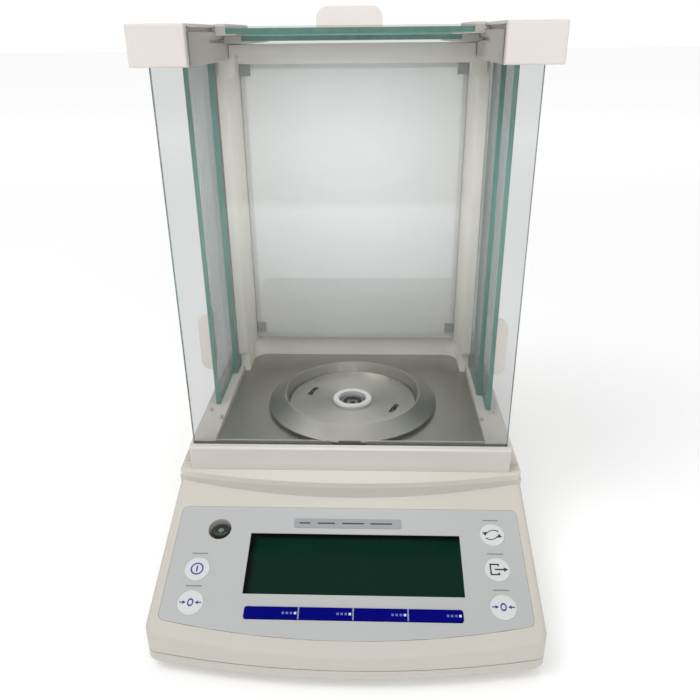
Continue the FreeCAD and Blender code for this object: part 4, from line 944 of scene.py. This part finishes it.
class BALANCE_OT_stage(bpy.types.Operator):
    """Set the floor, the lights, the backdrop and the camera."""

    bl_idname = "balance.stage"
    bl_label = "Stage"

    def execute(self, context):
        scene = context.scene
        deselect()
        bpy.ops.mesh.primitive_plane_add(size=30.0, location=(0, 0, 0))
        floor = bpy.context.object
        floor.name = "studio_floor"
        s = Shader("floor_paper")
        tone = s.blend(s.noise(3.0), (0.90, 0.90, 0.90, 1), (0.93, 0.93, 0.93, 1))
        x, y, _ = s.split(s.place)
        glow = s.blend((x * x + y * y).between(0.1, 4.0), (0.16, 0.16, 0.16, 1), (0.40, 0.40, 0.40, 1))
        floor.data.materials.append(s.finish(s.surface(
            Base_Color=tone, Roughness=0.9, Emission_Color=glow, Emission_Strength=1.0)))
        scene.world = self.air()
        aim = Vector((0, 0.02, 0.10))
        for name, place, power, wide in (
                ("key_light", (-0.8, -0.55, 1.75), 9.5, 0.9),
                ("fill_light", (0.3, -1.6, 1.0), 7.5, 1.2),
                ("back_light", (0.2, 1.4, 1.6), 4.0, 1.6),
                ("chamber_light", (0, -0.098, 0.24), 0.20, 0.13)):
            data = bpy.data.lights.new(name, "AREA")
            data.energy, data.size = power, wide
            light = bpy.data.objects.new(name, data)
            light.location = place
            light.visible_camera = False
            light.visible_glossy = name != "chamber_light"
            light.rotation_euler = (aim - Vector(place)).to_track_quat("-Z", "Y").to_euler()
            scene.collection.objects.link(light)
        self.camera(scene)
        scene.view_settings.view_transform = "Standard"
        scene.cycles.transparent_max_bounces = 32
        return {"FINISHED"}

    def air(self):
        """Air that is white at the horizon, dimmer above it and bright overhead, as under a soft box."""
        s = Shader("studio_air", "worlds", "Generated")
        rise = s.split(s.place)[2]
        glow = 0.26 + 0.76 * (1.0 - rise.between(0.04, 0.2)) + 0.70 * rise.between(0.45, 0.95)
        air = s.node("ShaderNodeBackground", inputs={"Color": (1.0, 1.0, 1.0, 1), "Strength": glow})
        return s.finish(air, "ShaderNodeOutputWorld")

    def camera(self, scene):
        """Camera in front of the console, looking down into the chamber."""
        yaw, pitch, roll = (math.radians(angle) for angle in (-2.163, 24.569, -0.571))
        ahead = Vector((math.sin(yaw) * math.cos(pitch), math.cos(yaw) * math.cos(pitch), -math.sin(pitch)))
        right = Vector((math.cos(yaw), -math.sin(yaw), 0))
        up = right.cross(ahead)
        turned_right = right * math.cos(roll) + up * math.sin(roll)
        turned_up = up * math.cos(roll) - right * math.sin(roll)
        data = bpy.data.cameras.new("camera")
        data.sensor_width, data.lens = 36.0, 35.65
        data.clip_start, data.clip_end = 0.01, 100.0
        camera = bpy.data.objects.new("camera", data)
        turn = Matrix((turned_right, turned_up, -ahead)).transposed().to_4x4()
        camera.matrix_world = Matrix.Translation((0.01485, -0.47809, 0.31390)) @ turn
        scene.collection.objects.link(camera)
        scene.camera = camera


class BALANCE_PT_sidebar(bpy.types.Panel):
    """Steps, sizes and colours of the balance."""

    bl_idname = "BALANCE_PT_sidebar"
    bl_label = "Analytical Balance"
    bl_space_type = "VIEW_3D"
    bl_region_type = "UI"
    bl_category = "Balance"

    def draw(self, context):
        for step in STEPS:
            self.layout.operator(step.bl_idname)
        for group in (context.scene.balance_sizes, context.scene.balance_colours):
            for name in group.__annotations__:
                self.layout.prop(group, name)


STEPS = (BALANCE_OT_case, BALANCE_OT_glass, BALANCE_OT_weighing, BALANCE_OT_inside, BALANCE_OT_keypad,
         BALANCE_OT_symbols, BALANCE_OT_gasket, BALANCE_OT_roof_seal, BALANCE_OT_feet,
         BALANCE_OT_back, BALANCE_OT_level, BALANCE_OT_stage)
CLASSES = (BalanceColours, BalanceSizes, *STEPS, BALANCE_PT_sidebar)


def register():
    """Register the classes and hang the sizes and colours on the scene."""
    for item in CLASSES:
        bpy.utils.register_class(item)
    bpy.types.Scene.balance_colours = bpy.props.PointerProperty(type=BalanceColours)
    bpy.types.Scene.balance_sizes = bpy.props.PointerProperty(type=BalanceSizes)


def unregister():
    """Take the sizes, colours and classes away."""
    del bpy.types.Scene.balance_sizes
    del bpy.types.Scene.balance_colours
    for item in reversed(CLASSES):
        bpy.utils.unregister_class(item)


def main():
    """Build everything."""
    register()
    for step in STEPS:
        group, name = step.bl_idname.split(".")
        getattr(getattr(bpy.ops, group), name)()


if __name__ == "__main__":
    main()
